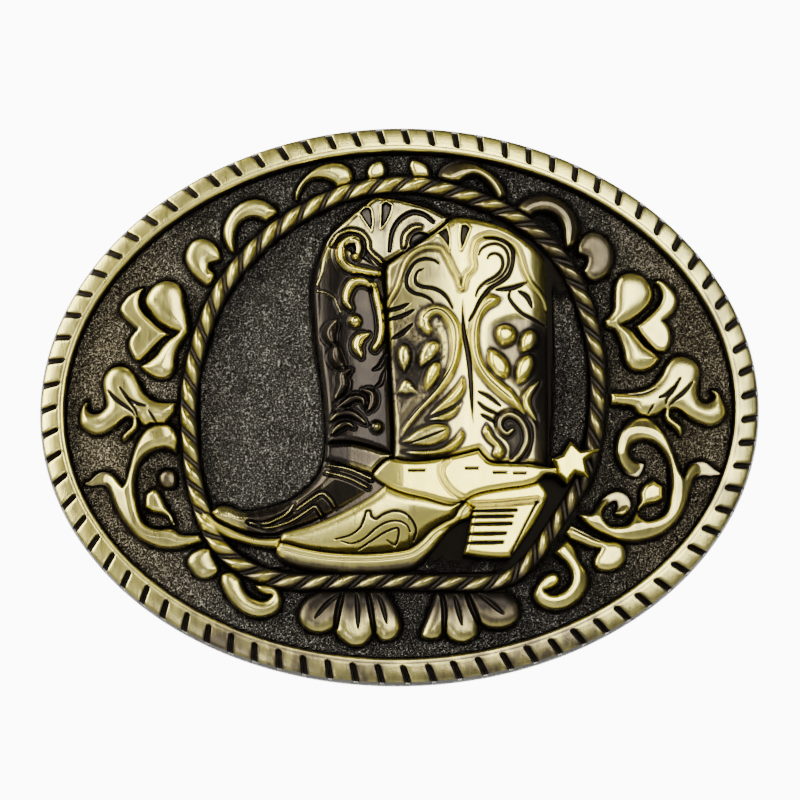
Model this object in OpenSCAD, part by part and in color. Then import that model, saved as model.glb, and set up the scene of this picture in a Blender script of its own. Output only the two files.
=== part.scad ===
/* [Plate] */
// Whole width of the oval, left to right
oval_w = 98;      // [60:0.5:120]
// Whole height of the oval
oval_h = 76;      // [45:0.5:100]
// Radius of the bend about the upright axis, at the front of the field
bend_r = 220;     // [120:1:600]
// Thickness of the base plate
plate_t = 2.2;    // [1:0.1:4]

/* [Rim] */
// Width of the raised rim
rim_w = 3.5;      // [2:0.1:6]
// Height of the rim above the field
rim_h = 1.8;      // [0.5:0.1:3]
// Number of notches round the rim
notch_n = 79;     // [40:1:120]
// Length of one notch along its own line
notch_l = 2.7;    // [1:0.1:4]
// Width of one notch
notch_w = 0.65;   // [0.3:0.05:1.2]
// Depth of a notch below the rim face
notch_d = 0.9;    // [0.3:0.1:1.6]
// Lean of a notch away from the square-on line
notch_lean = 17;  // [0:1:40]

/* [Relief] */
// Width of the rope ring
rope_w = 2.2;     // [1.4:0.1:3.5]
// Height of the rope ring
rope_h = 1.7;     // [0.8:0.1:3]
// Height of the small side ornaments
trim_h = 1.6;     // [0.8:0.1:3]
// Height of the rear boot
rear_h = 2.2;     // [1:0.1:4]
// Height of the front boot
front_h = 3.0;    // [1:0.1:5]
// Height of the spur strap
strap_h = 3.5;    // [1:0.1:6]

/* [Belt loop] */
// Wire diameter of the belt loop
wire_d = 2.8;     // [2:0.1:4]
// Clear height inside the loop, for the belt
loop_in = 41;     // [30:0.5:50]
// Reach of the loop from its pivot to its cross bar, centre to centre
loop_reach = 17;  // [10:0.5:25]
// Distance of the pivot from the middle of the buckle
pivot_x = 31;     // [20:0.5:40]
// Distance of the pivot line behind the front of the field
pivot_y = 7.4;    // [6:0.1:10]
// Corner radius of the loop on the wire centre line
loop_r = 4;       // [2:0.5:8]
// Opening of the loop from its folded rest
loop_open = 0;    // [0:1:150]
// Clearance between the wire and the lug bore, on the radius
pivot_gap = 0.05; // [0.01:0.01:0.1]
// Thickness of a lug along the pivot line
lug_t = 3;        // [2:0.1:5]
// Outside radius of a lug round its bore
lug_r = 2.9;      // [2:0.1:4]

/* [Hook] */
// Distance of the hook peg from the middle of the buckle
peg_x = 33;       // [20:0.5:40]
// Diameter of the peg
peg_d = 4;        // [2.5:0.1:5]
// Length of the peg behind the plate, along its own line
peg_l = 7.4;      // [5:0.1:9]
// Lean of the peg towards the loop
peg_lean = 14;    // [0:1:30]
// Radius of the flange at the foot of the peg
foot_r = 3.4;     // [3:0.1:6]
// Thickness of that flange on the line of the peg
foot_t = 1.6;     // [1.2:0.1:3]
// Diameter of the peg's tenon inside the flange
tenon_d = 2.8;    // [1.5:0.1:3.5]

/* [Hidden] */
rx = oval_w / 2;
rz = oval_h / 2;
back_r = bend_r - plate_t;
steps = 5;
gold = [0.72, 0.66, 0.42];
dark = [0.32, 0.29, 0.20];
steel = [0.55, 0.55, 0.53];
leg_z = loop_in / 2 + wire_d / 2;
end_r = 2;
lug_z = leg_z + end_r + 0.3;
end_z = lug_z + lug_t + 0.4;
peg_back = bend_r - sqrt(back_r * back_r - peg_x * peg_x);

// ---- outline helper: each point is [x, z], or [x, z, 1] for a sharp corner ----
function vec(p) = [p[0], p[1]];
function chord(p, i, j) = vec(p[(j + len(p)) % len(p)]) - vec(p[(i + len(p)) % len(p)]);
function out_t(p, i) = p[i][2] == 1 ? chord(p, i, i + 1)
    : chord(p, i - 1, i + 1) * norm(chord(p, i, i + 1))
        / (norm(chord(p, i - 1, i)) + norm(chord(p, i, i + 1)));
function in_t(p, i) = p[i][2] == 1 ? chord(p, i - 1, i)
    : chord(p, i - 1, i + 1) * norm(chord(p, i - 1, i))
        / (norm(chord(p, i - 1, i)) + norm(chord(p, i, i + 1)));
function herm(a, b, ta, tb, t) = a * (2*t*t*t - 3*t*t + 1) + b * (3*t*t - 2*t*t*t)
    + ta * (t*t*t - 2*t*t + t) + tb * (t*t*t - t*t);
function both_sharp(p, i) = p[i][2] == 1 && p[(i + 1) % len(p)][2] == 1;
function smooth(p, n = steps) = [for (i = [0 : len(p) - 1])
    for (k = [0 : (both_sharp(p, i) ? 0 : n - 1)])
        herm(vec(p[i]), vec(p[(i + 1) % len(p)]), out_t(p, i),
            in_t(p, (i + 1) % len(p)), k / n)];
function oval(a, b, n = 160) = [for (i = [0 : n - 1]) [a * cos(360 * i / n), b * sin(360 * i / n)]];
function shift_line(p, d) = [for (i = [0 : len(p) - 1])
    let (c = chord(p, i - 1, i + 1)) vec(p[i]) + d * [c[1], -c[0]] / norm(c)];

// ---- outlines in millimetres, seen from the front, origin at the middle ----
rope_line = [[-28.5, 0], [-28.3, -5], [-27.7, -10], [-26.6, -14.2], [-25.2, -17.5],
    [-22.8, -20.4], [-19.3, -22.6], [-14.5, -23.8], [-8, -23.9], [-1, -24], [6, -24.3],
    [11.5, -24.4], [14.8, -23.3], [17.6, -20.8], [20.2, -17.2], [22.8, -13.3],
    [24.9, -9.6], [26.1, -5.5], [26.7, -1], [26.9, 4], [26.4, 9], [25.3, 13.5],
    [23.6, 17.6], [21.2, 21.2], [17.9, 24.3], [13.6, 26.9], [8.4, 28.9], [2.8, 30.1],
    [-2.5, 30], [-7.3, 29], [-12, 27], [-16.4, 24.3], [-20.2, 20.9], [-23.4, 17],
    [-25.8, 12.4], [-27.4, 7.5], [-28.2, 3.6]];
rear_shaft_o = [[-9.6, 22.4], [-8, 24.3], [-5.8, 26.2], [-3.8, 27.8], [-2.5, 28.6],
    [-0.5, 28.5], [2, 27.9], [4.2, 27.2], [5.8, 26.4], [7.2, 25.6, 1], [4, 15, 1],
    [2, -4, 1], [-1, -7, 1], [-6.2, -5.4], [-9.9, -5.4, 1], [-9.9, -4], [-10.1, 0], [-10.5, 4],
    [-11, 8], [-11.3, 12], [-11.4, 16], [-10.9, 19]];
rear_band_o = [[-9.9, -5.4, 1], [-6.2, -5.4], [-1, -7, 1], [-1.5, -8, 1], [-3.6, -9.6, 1],
    [-6.5, -8.6], [-10.1, -7.5, 1], [-10, -6.5]];
rear_foot_o = [[-10.1, -7.5, 1], [-6.5, -8.6], [-3.6, -9.6, 1], [-2, -11.1, 1], [-3.8, -12.5, 1],
    [-7.5, -14.5, 1], [-12, -16.3, 1], [-16.1, -17.7, 1], [-17, -17.8, 1], [-19, -17.7],
    [-21, -17.2], [-23, -16.3], [-24.6, -15.4], [-25.4, -14.4], [-25, -13.7], [-24, -13.4],
    [-22.8, -13.6], [-21.5, -14.2], [-19.5, -14.2], [-17, -13.7], [-14.5, -12.8],
    [-12.3, -11.2], [-10.8, -9.4]];
rear_sole_o = [[-26.7, -14.3, 1], [-26.4, -15.2], [-25.3, -16.2], [-23.7, -17.4],
    [-21.8, -18.2], [-19.5, -18.9], [-17.5, -19.2], [-16.2, -19.3, 1], [-16.1, -17.9, 1],
    [-17, -17.9, 1], [-19, -17.8], [-21, -17.3], [-23, -16.4], [-24.6, -15.5], [-25.7, -14.4, 1]];
front_shaft_o = [[-1.5, 19.2, 1], [2, 21.3], [5.5, 23.5], [7.5, 25.1], [8.4, 25.4],
    [9.5, 25.3], [12, 24.8], [14.5, 24], [16.5, 22.8], [19, 21], [20.3, 20], [20.7, 18.6],
    [20.8, 12], [20.6, 5], [20.4, -1], [20.1, -6], [19.9, -8.9, 1], [17, -8.5], [14, -8.4],
    [12, -8.2], [11, -7.3], [10.5, -6.6, 1], [8.5, -7.1], [5.5, -7.7], [2.5, -8],
    [0.5, -7.9], [-1.3, -7.6, 1], [-1, -6.8], [-0.9, -4], [-1, 0], [-1.2, 5], [-1.5, 10],
    [-1.7, 15], [-1.8, 18]];
front_foot_o = [[-16.1, -17.7], [-15.6, -17.2], [-14, -16.8], [-12, -16.3], [-9.5, -15.4],
    [-7.5, -14.5], [-5.5, -13.5], [-3.8, -12.5], [-2, -11.1, 1], [-0.8, -11.7], [1, -12.3],
    [3.5, -12.9], [5.5, -13.5], [7, -13.7], [8.5, -13.3, 1], [7.6, -14.4], [7, -15.5],
    [5.6, -16.2], [4, -17.2], [2.6, -18.6], [1.2, -19.6], [0, -19.9], [-3, -20.2],
    [-6.5, -20.2], [-10, -19.9], [-13, -19.3], [-15, -18.7], [-16, -18.4]];
front_sole_o = [[-16, -18.4, 1], [-15, -18.7], [-13, -19.3], [-10, -19.9], [-6.5, -20.2],
    [-3, -20.2], [0, -19.9], [1.2, -19.6], [2.6, -18.6], [4, -17.2], [5.6, -16.2],
    [7, -15.5], [7.6, -14.4], [8.5, -13.3, 1], [9.7, -14.3, 1], [9.3, -15.6, 1], [7.8, -16.1],
    [6.5, -17], [5.4, -18.2], [4.2, -19.8], [3, -21], [1.5, -22.3], [-1, -22.8],
    [-5, -22.9], [-9, -22.7], [-12.5, -22.2], [-15, -21.5], [-16.3, -20.6], [-16.7, -19.5]];
heel_o = [[8.5, -13.3, 1], [9.5, -12.7], [11, -12.2], [14, -11.7], [16.8, -11.3],
    [18.6, -10.8, 1], [19.6, -12.4], [19.4, -13.4], [18, -16], [16, -18.9], [14.4, -21, 1],
    [12, -21], [8.3, -20.5, 1], [8.8, -18.5], [9.3, -16], [9.7, -14.3, 1]];
strap_o = [[-3.7, -9.7], [-3.2, -8.9], [-2.2, -8], [-1.3, -7.6], [0.5, -7.9], [2.5, -8],
    [5.5, -7.7], [8.5, -7.1], [10.5, -6.6, 1], [11, -7.3], [12, -8.2], [14, -8.4], [17, -8.5],
    [19, -8.8], [20.9, -9.1, 1], [21, -9.9, 1], [19.3, -9.9], [18.4, -10.7], [16.8, -11.3],
    [14, -11.7], [11, -12.2], [9.5, -12.7], [8.5, -13.3], [7, -13.7], [5.5, -13.5],
    [3.5, -12.9], [1, -12.3], [-0.8, -11.7], [-2, -11.1], [-3, -10.5]];
rowel_o = [[22.9, -5.4, 1], [24.2, -6.7, 1], [26.8, -6.4, 1], [24.8, -8, 1], [25.2, -10.3, 1],
    [23.4, -9.7, 1], [22.3, -11.1, 1], [21, -9.9, 1], [20.9, -9.1, 1], [20.4, -7.8, 1], [21.8, -7.2, 1]];
cr_up_left = [[-13.6, 28.2, 1], [-13.7, 29.2], [-13.2, 30.4], [-12, 31.8], [-10.6, 32.8],
    [-9, 33.3], [-7.4, 33.2], [-6.3, 32.5], [-5.9, 31.3], [-6.3, 30.5], [-8, 30, 1],
    [-8.6, 30.7], [-9.8, 31.2], [-11.2, 31.2], [-12.4, 30.5], [-13.1, 29.4]];
cr_low_left = [[-22.1, 21.2, 1], [-22.8, 21.7], [-23.4, 23], [-23.6, 24.4], [-23.1, 26],
    [-22.1, 27.4], [-20.8, 28.3], [-19.3, 28.6], [-17.9, 28.3], [-16.8, 27.5],
    [-16.2, 26.6], [-17.8, 25.5, 1], [-18.8, 26], [-19.9, 26.1], [-21, 25.6],
    [-21.8, 24.6], [-22.1, 23.2]];
cr_up_right = [[13.9, 27.9, 1], [14.9, 28.6], [14.3, 30.3], [12.8, 31.8], [11, 32.9], [9.2, 33.4],
    [7.5, 33.2], [6.2, 32.4], [5.8, 31.4], [6.4, 30.8], [7.6, 30.4], [8.7, 30.3, 1], [9.6, 31],
    [10.8, 31.3], [12.1, 30.6], [13.1, 29.4]];
cr_low_right = [[22.9, 21.1, 1], [24, 21.5], [24.7, 22.9], [24.7, 24.8], [23.9, 26.6], [22.4, 28],
    [20.6, 28.6], [18.8, 28.5], [17.2, 27.8], [16.4, 26.9], [17, 26.1], [18.2, 25.5, 1],
    [19, 26], [20.5, 26.1], [21.8, 25.4], [22.6, 24], [22.8, 22.4]];
bean_left_o = [[-28.4, 22.3], [-27.7, 23.1], [-26.4, 23.4], [-25.1, 22.8], [-24.2, 21.6],
    [-24, 20.4], [-24.6, 20.1], [-25.5, 19.8], [-25.5, 19.1], [-24.9, 18.5], [-25, 17.6],
    [-25.8, 16.9], [-27, 17.8], [-28.2, 19.2], [-28.8, 20.8]];
bean_right_o = [[24.6, 20.4, 1], [24.5, 21.6], [25.2, 22.8], [26.5, 23.5], [27.9, 23.1],
    [29, 21.9], [29.4, 20.3], [29.1, 18.6], [28, 17.2], [26.7, 16.7], [25.8, 17], [25.2, 18, 1],
    [25.7, 19], [25.8, 19.8], [25.3, 20.2]];
bud_top_left = [[-3.9, 31.9], [-3.5, 32.8], [-2.8, 33.3], [-2, 33.4], [-1.5, 32.6],
    [-1.6, 31.5], [-2.4, 31, 1], [-3.6, 30.9, 1]];
bud_top_right = [[1.9, 32.8], [2.2, 33.5], [3, 33.4], [4, 32.9], [4.5, 32.1], [4.5, 31.1, 1],
    [2.5, 31.1, 1], [2.1, 31.9]];
heart_out_left = [[-34.6, 16.9, 1], [-35.4, 16.6], [-36.5, 16], [-37.5, 14.9], [-37.8, 14],
    [-37.3, 13], [-36.5, 12.2], [-35.5, 11.2, 1], [-36.4, 10], [-36.6, 9], [-36.2, 7.8],
    [-35.7, 7], [-35.1, 6.9], [-34.2, 7.6], [-33, 8.9], [-31.9, 9.9], [-31.1, 10.3, 1],
    [-32.4, 11.2], [-33.6, 12.3], [-34.7, 13.5], [-35.2, 14.6], [-35.1, 15.8]];
heart_in_left = [[-35, 6.1, 1], [-34, 6.6], [-32.8, 7.5], [-32, 8.6], [-31, 9.6], [-30.1, 10.2],
    [-29.7, 10.6, 1], [-31.2, 11.3], [-32.6, 12.3], [-33.6, 13.6], [-34.3, 15],
    [-33.9, 16.2], [-33, 17.2], [-31.8, 17.7], [-30.6, 17.6], [-29.7, 17], [-29.2, 15.8],
    [-29, 14.4], [-28.7, 13], [-28.5, 11.6], [-28.5, 10.5], [-28.9, 9.9], [-29.8, 8.4],
    [-30.3, 7], [-30.4, 5.6], [-30.8, 4.7], [-31.8, 4.2], [-33, 4.5], [-34.2, 5.2]];
heart_out_right = [[35, 16.6, 1], [35.7, 16.9], [36.8, 16.2], [37.7, 15.1], [38, 14],
    [37.6, 12.8], [36.9, 12], [36.1, 11.3, 1], [36.7, 10.5], [37, 9.4], [36.9, 8.2],
    [36.3, 7.2], [35.6, 7], [34.8, 7.3], [33.8, 8.3], [33, 9.3], [32.3, 10.5, 1], [33.4, 11.3],
    [34.6, 12.4], [35.6, 13.6], [36, 14.8], [35.6, 16]];
heart_in_right = [[35.4, 6.1, 1], [34.4, 7], [33.4, 7.7], [32.4, 8.9], [31.5, 10], [30.3, 10.7, 1],
    [31.6, 11.4], [33, 12.4], [34.1, 13.6], [34.6, 14.9], [34.4, 15.9], [33.8, 17],
    [32.7, 17.7], [31.3, 17.8], [30.2, 17.3], [29.6, 16.2], [29.4, 14.4], [29.3, 12.9],
    [28.8, 12], [28, 11.2, 1], [28.1, 10.4, 1], [29.3, 9.9], [30, 8.6], [30.5, 7], [30.8, 5.4],
    [31.7, 4.5], [33, 4.4], [34.4, 5]];
acanthus_left_o = [[-30.2, 0.9, 1], [-32, 0.95], [-33.4, 1.4], [-34.6, 2.4], [-35.3, 3.8],
    [-35.9, 5], [-36.8, 5.9], [-38, 6.2], [-39.2, 5.8], [-40, 4.7], [-40.1, 3.4],
    [-39.8, 2], [-39.7, 0.8], [-40.4, 0], [-41.3, -0.2], [-42.1, 0.1], [-42.5, 0.7],
    [-42.3, 1.6, 1], [-42.9, 1], [-43.3, -0.2], [-43.2, -1.6], [-42.2, -2.6], [-41, -3],
    [-39.6, -2.7], [-38.4, -1.9], [-37.6, -1.2], [-36.8, -0.8], [-36.1, -1.2],
    [-36.2, -2.1], [-36.9, -2.8], [-37.5, -3.5], [-37.3, -4.1, 1], [-36.5, -3.4],
    [-35.8, -2.8], [-35.4, -2.2], [-35.4, -1], [-34.6, -2], [-33.6, -1.7, 1], [-31.8, -1.8, 1],
    [-31, -1.2], [-30.4, -0.4, 1]];
acanthus_right_o = [[28.5, 1.3, 1], [31, 1.3], [33, 1.7], [34.5, 2.5], [35.6, 3.8], [36.2, 5],
    [37.2, 6.1], [38.3, 6.4], [39.6, 6.1], [40.6, 5.2], [40.8, 4], [40.5, 2.6],
    [40.4, 1.3], [40.8, 0.3], [41.5, 0], [42.4, 0.3], [42.9, 1], [42.5, 1.9, 1], [43.3, 1.5],
    [43.9, 0.3], [44.3, -1.2], [43.6, -2.4], [42.2, -3], [40.8, -2.7], [39.3, -2],
    [38, -1], [37, -0.8], [36.6, -1.2], [36.6, -1.9], [37.4, -2.6], [38.1, -3.2],
    [38.2, -3.9], [37.9, -4.5, 1], [37.2, -3.5], [36.2, -2.7], [35.8, -1.8], [35.9, -0.9],
    [34.8, -1.6], [33.7, -1.8], [32.3, -1.5], [31.5, -0.6], [30, -0.3], [28.5, -0.2, 1]];
scroll_left_o = [[-33.2, -1.9], [-34.4, -2.7], [-35.4, -4.2], [-36, -6], [-36.6, -8.2],
    [-37.1, -9.8], [-37.4, -10.3, 1], [-38, -9.6], [-38.7, -8.7], [-39.6, -8.2],
    [-40.5, -8.2], [-41.3, -8.7], [-42, -9.3], [-42.9, -9.6, 1], [-41.8, -9.9],
    [-40.6, -9.8], [-39.7, -10.1], [-39.2, -11], [-38.8, -12.2], [-38.1, -13.8],
    [-37, -15.5], [-35.5, -17.2], [-33.8, -18.3], [-32, -18.9], [-30, -19], [-28.3, -18.6],
    [-26.6, -18.1, 1], [-27.1, -17.2, 1], [-28.6, -17.2], [-29.7, -17], [-30.4, -16.4],
    [-31.3, -16.2], [-32.4, -16.3], [-33.6, -16], [-34.6, -15.3], [-35.2, -14],
    [-35.6, -12.3], [-35.8, -10.5], [-35.7, -8.8], [-35.2, -7.2], [-34.2, -6.1],
    [-33, -5.5], [-31.8, -5.3], [-30.9, -5.5], [-30.1, -6, 1], [-29.9, -4.6], [-30.2, -3.2],
    [-31, -2.1], [-32, -1.85]];
scroll_right_o = [[33, -1.9], [33.9, -2.2], [35, -3.3], [35.9, -4.6], [36.6, -6.2],
    [37.1, -7.8], [37.6, -9.2], [38.2, -10.2, 1], [38.6, -9.3], [39.4, -8.3], [40.5, -7.9],
    [41.5, -8.1], [42.4, -8.8], [43.6, -9.6, 1], [42, -9.8], [40.6, -9.8], [39.7, -10.3],
    [39.2, -11.5], [38.8, -12.8], [38.2, -14.4], [37.2, -16], [35.8, -17.4], [34, -18.4],
    [32, -18.9], [30, -18.9], [28, -18.3], [26.2, -17.5], [24.8, -16.5], [23.6, -15.2, 1],
    [24.6, -15.2], [25.6, -15.2], [26.3, -14.3], [27, -13.3], [27.9, -12.5], [29.2, -12.1],
    [30.4, -12.6], [30.9, -13.7], [30.6, -14.8], [29.7, -15.4], [28.7, -15.1, 1],
    [29.2, -14.2], [28.9, -13.3], [28, -13.6], [27.3, -14.4], [27, -15.2], [27.2, -16],
    [28, -16.8], [29.2, -16.9], [30.4, -16.7], [31, -16.1], [31.3, -15.4], [31.8, -14.9],
    [32, -15.4], [33, -16.1], [34.2, -15.9], [35.3, -15.4], [35.9, -14.6], [36.2, -13],
    [36.5, -11.4], [36.5, -9.6], [36.2, -8], [35.5, -6.6], [34.4, -5.6], [33, -5.15],
    [31.7, -5.4], [30.9, -6.1], [30.8, -7], [31.3, -7.8], [32.1, -8.1], [32.9, -8.3, 1],
    [32.6, -9.2], [32, -10], [30.8, -9.8], [29.7, -8.7], [29.1, -7.2], [29.2, -5.6],
    [29.8, -4], [30.9, -2.9], [32, -2.1]];
ball_left_o = [[-32.4, -8.9], [-31.6, -8.3], [-30.6, -8.5], [-30.2, -9.5], [-30.4, -10.5],
    [-31.3, -10.8], [-32.2, -10.3], [-32.5, -9.6]];
bud_left_o = [[-34.3, -11.6], [-33.3, -10.8, 1], [-32.7, -11.1], [-32.1, -12.2],
    [-31.6, -13.3], [-30.8, -14.6], [-30.4, -15.9, 1], [-30.9, -15.3], [-31.3, -14.6],
    [-32.2, -14.2], [-33.3, -13.9], [-34.4, -13.3, 1]];
bud_right_o = [[34, -10.6, 1], [35.3, -11.4, 1], [35.3, -13.1, 1], [34.3, -13.6], [33, -13.9],
    [32.3, -14.3], [31.9, -14.8, 1], [31.9, -14.2], [32.3, -13.5], [32.3, -12.3], [32.9, -11.3]];
bulb_left_o = [[-28.7, -20.9], [-28.3, -21.8], [-27.6, -22.7], [-26.6, -23.2],
    [-25.5, -23], [-24.8, -22.5], [-24.5, -21.8], [-24.9, -21], [-25.3, -20.2],
    [-25.6, -19.2, 1], [-26.6, -19], [-27.8, -19.4], [-28.5, -20.1]];
bulb_right_o = [[22.7, -16.7, 1], [24.5, -17.6], [26.2, -18.5], [27.6, -18.9], [28.8, -19],
    [29.7, -19.5], [30, -20.4], [29.9, -21.4], [29.1, -22.4], [27.9, -22.9], [26.5, -22.8],
    [25.8, -22.2], [25.8, -21.3], [26.4, -20.3], [26.6, -19.9, 1], [25.4, -19.7],
    [23.9, -19.1], [22.6, -18.5], [21.9, -17.7, 1]];
volute_left_o = [[-24, -22.6], [-24.2, -23.6], [-23.6, -25.2], [-22.6, -26.7],
    [-21.2, -27.9], [-19.6, -28.5], [-17.9, -28.4], [-16.6, -27.7], [-16.1, -26.5],
    [-16.4, -25.2], [-17.2, -24.4], [-18.4, -24.15], [-19.5, -24.2, 1], [-19.2, -24.9],
    [-18.4, -25.4], [-17.4, -25.6], [-18.2, -26.3], [-19.3, -26.2], [-20.4, -25.6],
    [-21.2, -24.5], [-21.6, -23.3, 1], [-22.7, -22.4]];
volute_right_o = [[20.4, -20.4, 1], [22.1, -18.7, 1], [23.1, -19.6], [23.6, -21.2], [24.5, -22.6],
    [24.9, -24], [24.7, -25.2], [23.8, -26.6], [22.4, -27.7], [20.6, -28.2], [19, -27.9],
    [17.9, -27.1], [17.5, -26.2], [17.8, -25.2], [18.5, -24.2], [19.4, -23.4],
    [20.3, -23.1], [20.9, -23.6], [20.9, -24.5], [20.1, -25.2], [19, -25.5, 1], [19.7, -26],
    [20.8, -26], [22, -25.3], [22.7, -24.1], [22.6, -22.9], [22, -21.8], [21, -20.9]];
fan_left_o = [[-10.9, -25.2, 1], [-12.5, -26], [-13.5, -27.2], [-13.8, -28.5], [-13.3, -29.8],
    [-12.2, -30.6], [-10.8, -30.8], [-9.6, -30.4], [-9, -30], [-8.9, -30.7], [-8.1, -31.8],
    [-6.8, -32.6], [-5.3, -32.5], [-4.3, -31.6], [-3.8, -30.6, 1], [-3.5, -31.2],
    [-2.7, -32], [-1.5, -31.9], [-0.6, -31.1], [-0.3, -29.8], [-0.9, -27.6], [-2.2, -25.3, 1]];
fan_right_o = [[13.6, -25.6, 1], [14.9, -26.5], [15.5, -27.6], [15.5, -29], [14.7, -30],
    [13.2, -30.5], [11.5, -30.4], [10.2, -29.9], [10, -30.6], [9.8, -31.4], [9, -32.1],
    [7.8, -32.4], [6.4, -31.9], [5.5, -30.9, 1], [4.7, -31.8], [3.4, -31.9], [2.5, -31.5],
    [2.6, -30.6], [3.3, -29], [3.9, -27.4], [4.5, -25.6, 1]];

// ---- solids ----
// a sheet that follows the bend, from height a to height b above the field
module bent(a, b) {
    translate([0, bend_r, 0]) difference() {
        cylinder(r = bend_r + b, h = 90, center = true, $fn = 360);
        cylinder(r = bend_r + a, h = 92, center = true, $fn = 360);
    }
}

// a flat outline carried straight back through the whole depth
module prism() {
    translate([0, 14, 0]) rotate([90, 0, 0]) linear_extrude(height = 24) children();
}

module raised(h, a = 0) {
    intersection() {
        prism() children();
        bent(a, h);
    }
}

module rope_flat() {
    difference() {
        polygon(smooth(shift_line(rope_line, rope_w / 2), 3));
        polygon(smooth(shift_line(rope_line, -rope_w / 2), 3));
    }
}

module front_boot_flat() {
    polygon(smooth(front_shaft_o));
    polygon(smooth(strap_o));
    polygon(smooth(front_foot_o));
    polygon(smooth(front_sole_o));
    polygon(smooth(heel_o));
    polygon(smooth(rowel_o));
}

module rear_boot_flat() {
    polygon(smooth(rear_shaft_o));
    polygon(smooth(rear_band_o));
    polygon(smooth(rear_foot_o));
    polygon(smooth(rear_sole_o));
}

// side ornament, kept clear of the rope that lies over its inner end
module trim(o, h = trim_h) {
    color(gold) raised(h) difference() {
        polygon(smooth(o));
        rope_flat();
    }
}

module base_plate() {
    color(dark) raised(0, -plate_t) polygon(oval(rx, rz));
}

module notch_flat(k) {
    u = 360 * (k + 0.45) / notch_n;
    t = u + 3.56 * sin(2 * u);
    p = [rx * cos(t), rz * sin(t)];
    a = atan2(sin(t) / rz, cos(t) / rx) + notch_lean;
    translate(p) rotate(a) translate([-notch_l + notch_w / 2, 0]) {
        translate([0, -notch_w / 2]) square([notch_l + 1, notch_w]);
        circle(d = notch_w, $fn = 24);
    }
}

module rim_border() {
    color(gold) {
        raised(rim_h - notch_d) difference() {
            polygon(oval(rx, rz));
            polygon(oval(rx - rim_w, rz - rim_w));
        }
        raised(rim_h, rim_h - notch_d) difference() {
            polygon(oval(rx, rz));
            polygon(oval(rx - rim_w, rz - rim_w));
            for (k = [0 : notch_n - 1]) notch_flat(k);
        }
    }
}

module rope_ring() {
    color(gold) raised(rope_h) difference() {
        rope_flat();
        front_boot_flat();
        rear_boot_flat();
    }
}

module rear_part(o, h) {
    color(dark) raised(h) difference() {
        polygon(smooth(o));
        front_boot_flat();
    }
}

module rear_boot_shaft() { rear_part(rear_shaft_o, rear_h); }
module rear_ankle_band() {
    color(steel) raised(rear_h + 0.2) difference() {
        polygon(smooth(rear_band_o));
        front_boot_flat();
        polygon(smooth(rear_shaft_o));
    }
}
module rear_boot_foot() {
    color(dark) raised(rear_h) difference() {
        polygon(smooth(rear_foot_o));
        front_boot_flat();
        polygon(smooth(rear_band_o));
    }
}
module rear_boot_sole() {
    color(gold) raised(rear_h - 0.2) difference() {
        polygon(smooth(rear_sole_o));
        front_boot_flat();
        polygon(smooth(rear_foot_o));
    }
}

module front_boot_shaft() {
    color(gold) raised(front_h) difference() {
        polygon(smooth(front_shaft_o));
        polygon(smooth(strap_o));
    }
}
module front_boot_foot() {
    color(gold) raised(front_h) difference() {
        polygon(smooth(front_foot_o));
        polygon(smooth(strap_o));
    }
}
module front_boot_sole() {
    color(gold) raised(front_h - 0.3) difference() {
        polygon(smooth(front_sole_o));
        polygon(smooth(front_foot_o));
        polygon(smooth(strap_o));
    }
}
module front_boot_heel() {
    color(gold) raised(front_h) difference() {
        polygon(smooth(heel_o));
        polygon(smooth(front_sole_o));
        polygon(smooth(strap_o));
    }
}
module spur_strap() {
    color(gold) raised(strap_h) difference() {
        polygon(smooth(strap_o));
        polygon(smooth(rowel_o));
    }
}
module spur_rowel() { color(gold) raised(front_h - 0.4) polygon(smooth(rowel_o)); }

module crescent_upper_left() { trim(cr_up_left); }
module crescent_lower_left() { trim(cr_low_left); }
module crescent_upper_right() { trim(cr_up_right); }
module crescent_lower_right() { trim(cr_low_right); }
module bean_left() { trim(bean_left_o); }
module bean_right() { trim(bean_right_o); }
module top_bud_left() { trim(bud_top_left, trim_h - 0.3); }
module top_bud_right() { trim(bud_top_right, trim_h - 0.3); }
module heart_outer_left() { trim(heart_out_left); }
module heart_outer_right() { trim(heart_out_right); }
module heart_inner_left() { trim(heart_in_left); }
module heart_inner_right() { trim(heart_in_right); }
module acanthus_left() { trim(acanthus_left_o); }
module acanthus_right() { trim(acanthus_right_o); }

module scroll(o, leaf, bud) {
    color(gold) raised(trim_h + 0.2) difference() {
        polygon(smooth(o));
        rope_flat();
        polygon(smooth(leaf));
        polygon(smooth(bud));
    }
}
module scroll_left() { scroll(scroll_left_o, acanthus_left_o, bud_left_o); }
module scroll_right() { scroll(scroll_right_o, acanthus_right_o, bud_right_o); }
module scroll_ball_left() { trim(ball_left_o, trim_h - 0.2); }
module scroll_bud_left() { trim(bud_left_o); }
module scroll_bud_right() { trim(bud_right_o); }
module bulb_left() { trim(bulb_left_o); }
module bulb_right() { trim(bulb_right_o); }
module volute_left() { trim(volute_left_o); }
module volute_right() {
    color(gold) raised(trim_h) difference() {
        polygon(smooth(volute_right_o));
        rope_flat();
        polygon(smooth(bulb_right_o));
    }
}
module fan_left() { trim(fan_left_o, trim_h - 0.1); }
module fan_right() { trim(fan_right_o, trim_h - 0.1); }

// pivot lug: an eye round the bore on a foot that reaches the back of the plate
module lug(side) {
    zc = side * (lug_z + lug_t / 2);
    color(steel) difference() {
        intersection() {
            union() {
                translate([pivot_x, pivot_y, zc]) cylinder(r = lug_r, h = lug_t, center = true, $fn = 64);
                translate([pivot_x, pivot_y - 4, zc]) cube([2 * lug_r, 8, lug_t], center = true);
            }
            translate([0, bend_r, 0]) cylinder(r = back_r, h = 90, center = true, $fn = 720);
        }
        translate([pivot_x, pivot_y, zc])
            cylinder(r = wire_d / 2 + pivot_gap, h = lug_t + 2, center = true, $fn = 64);
    }
}
module loop_lug_upper() { lug(1); }
module loop_lug_lower() { lug(-1); }

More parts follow.
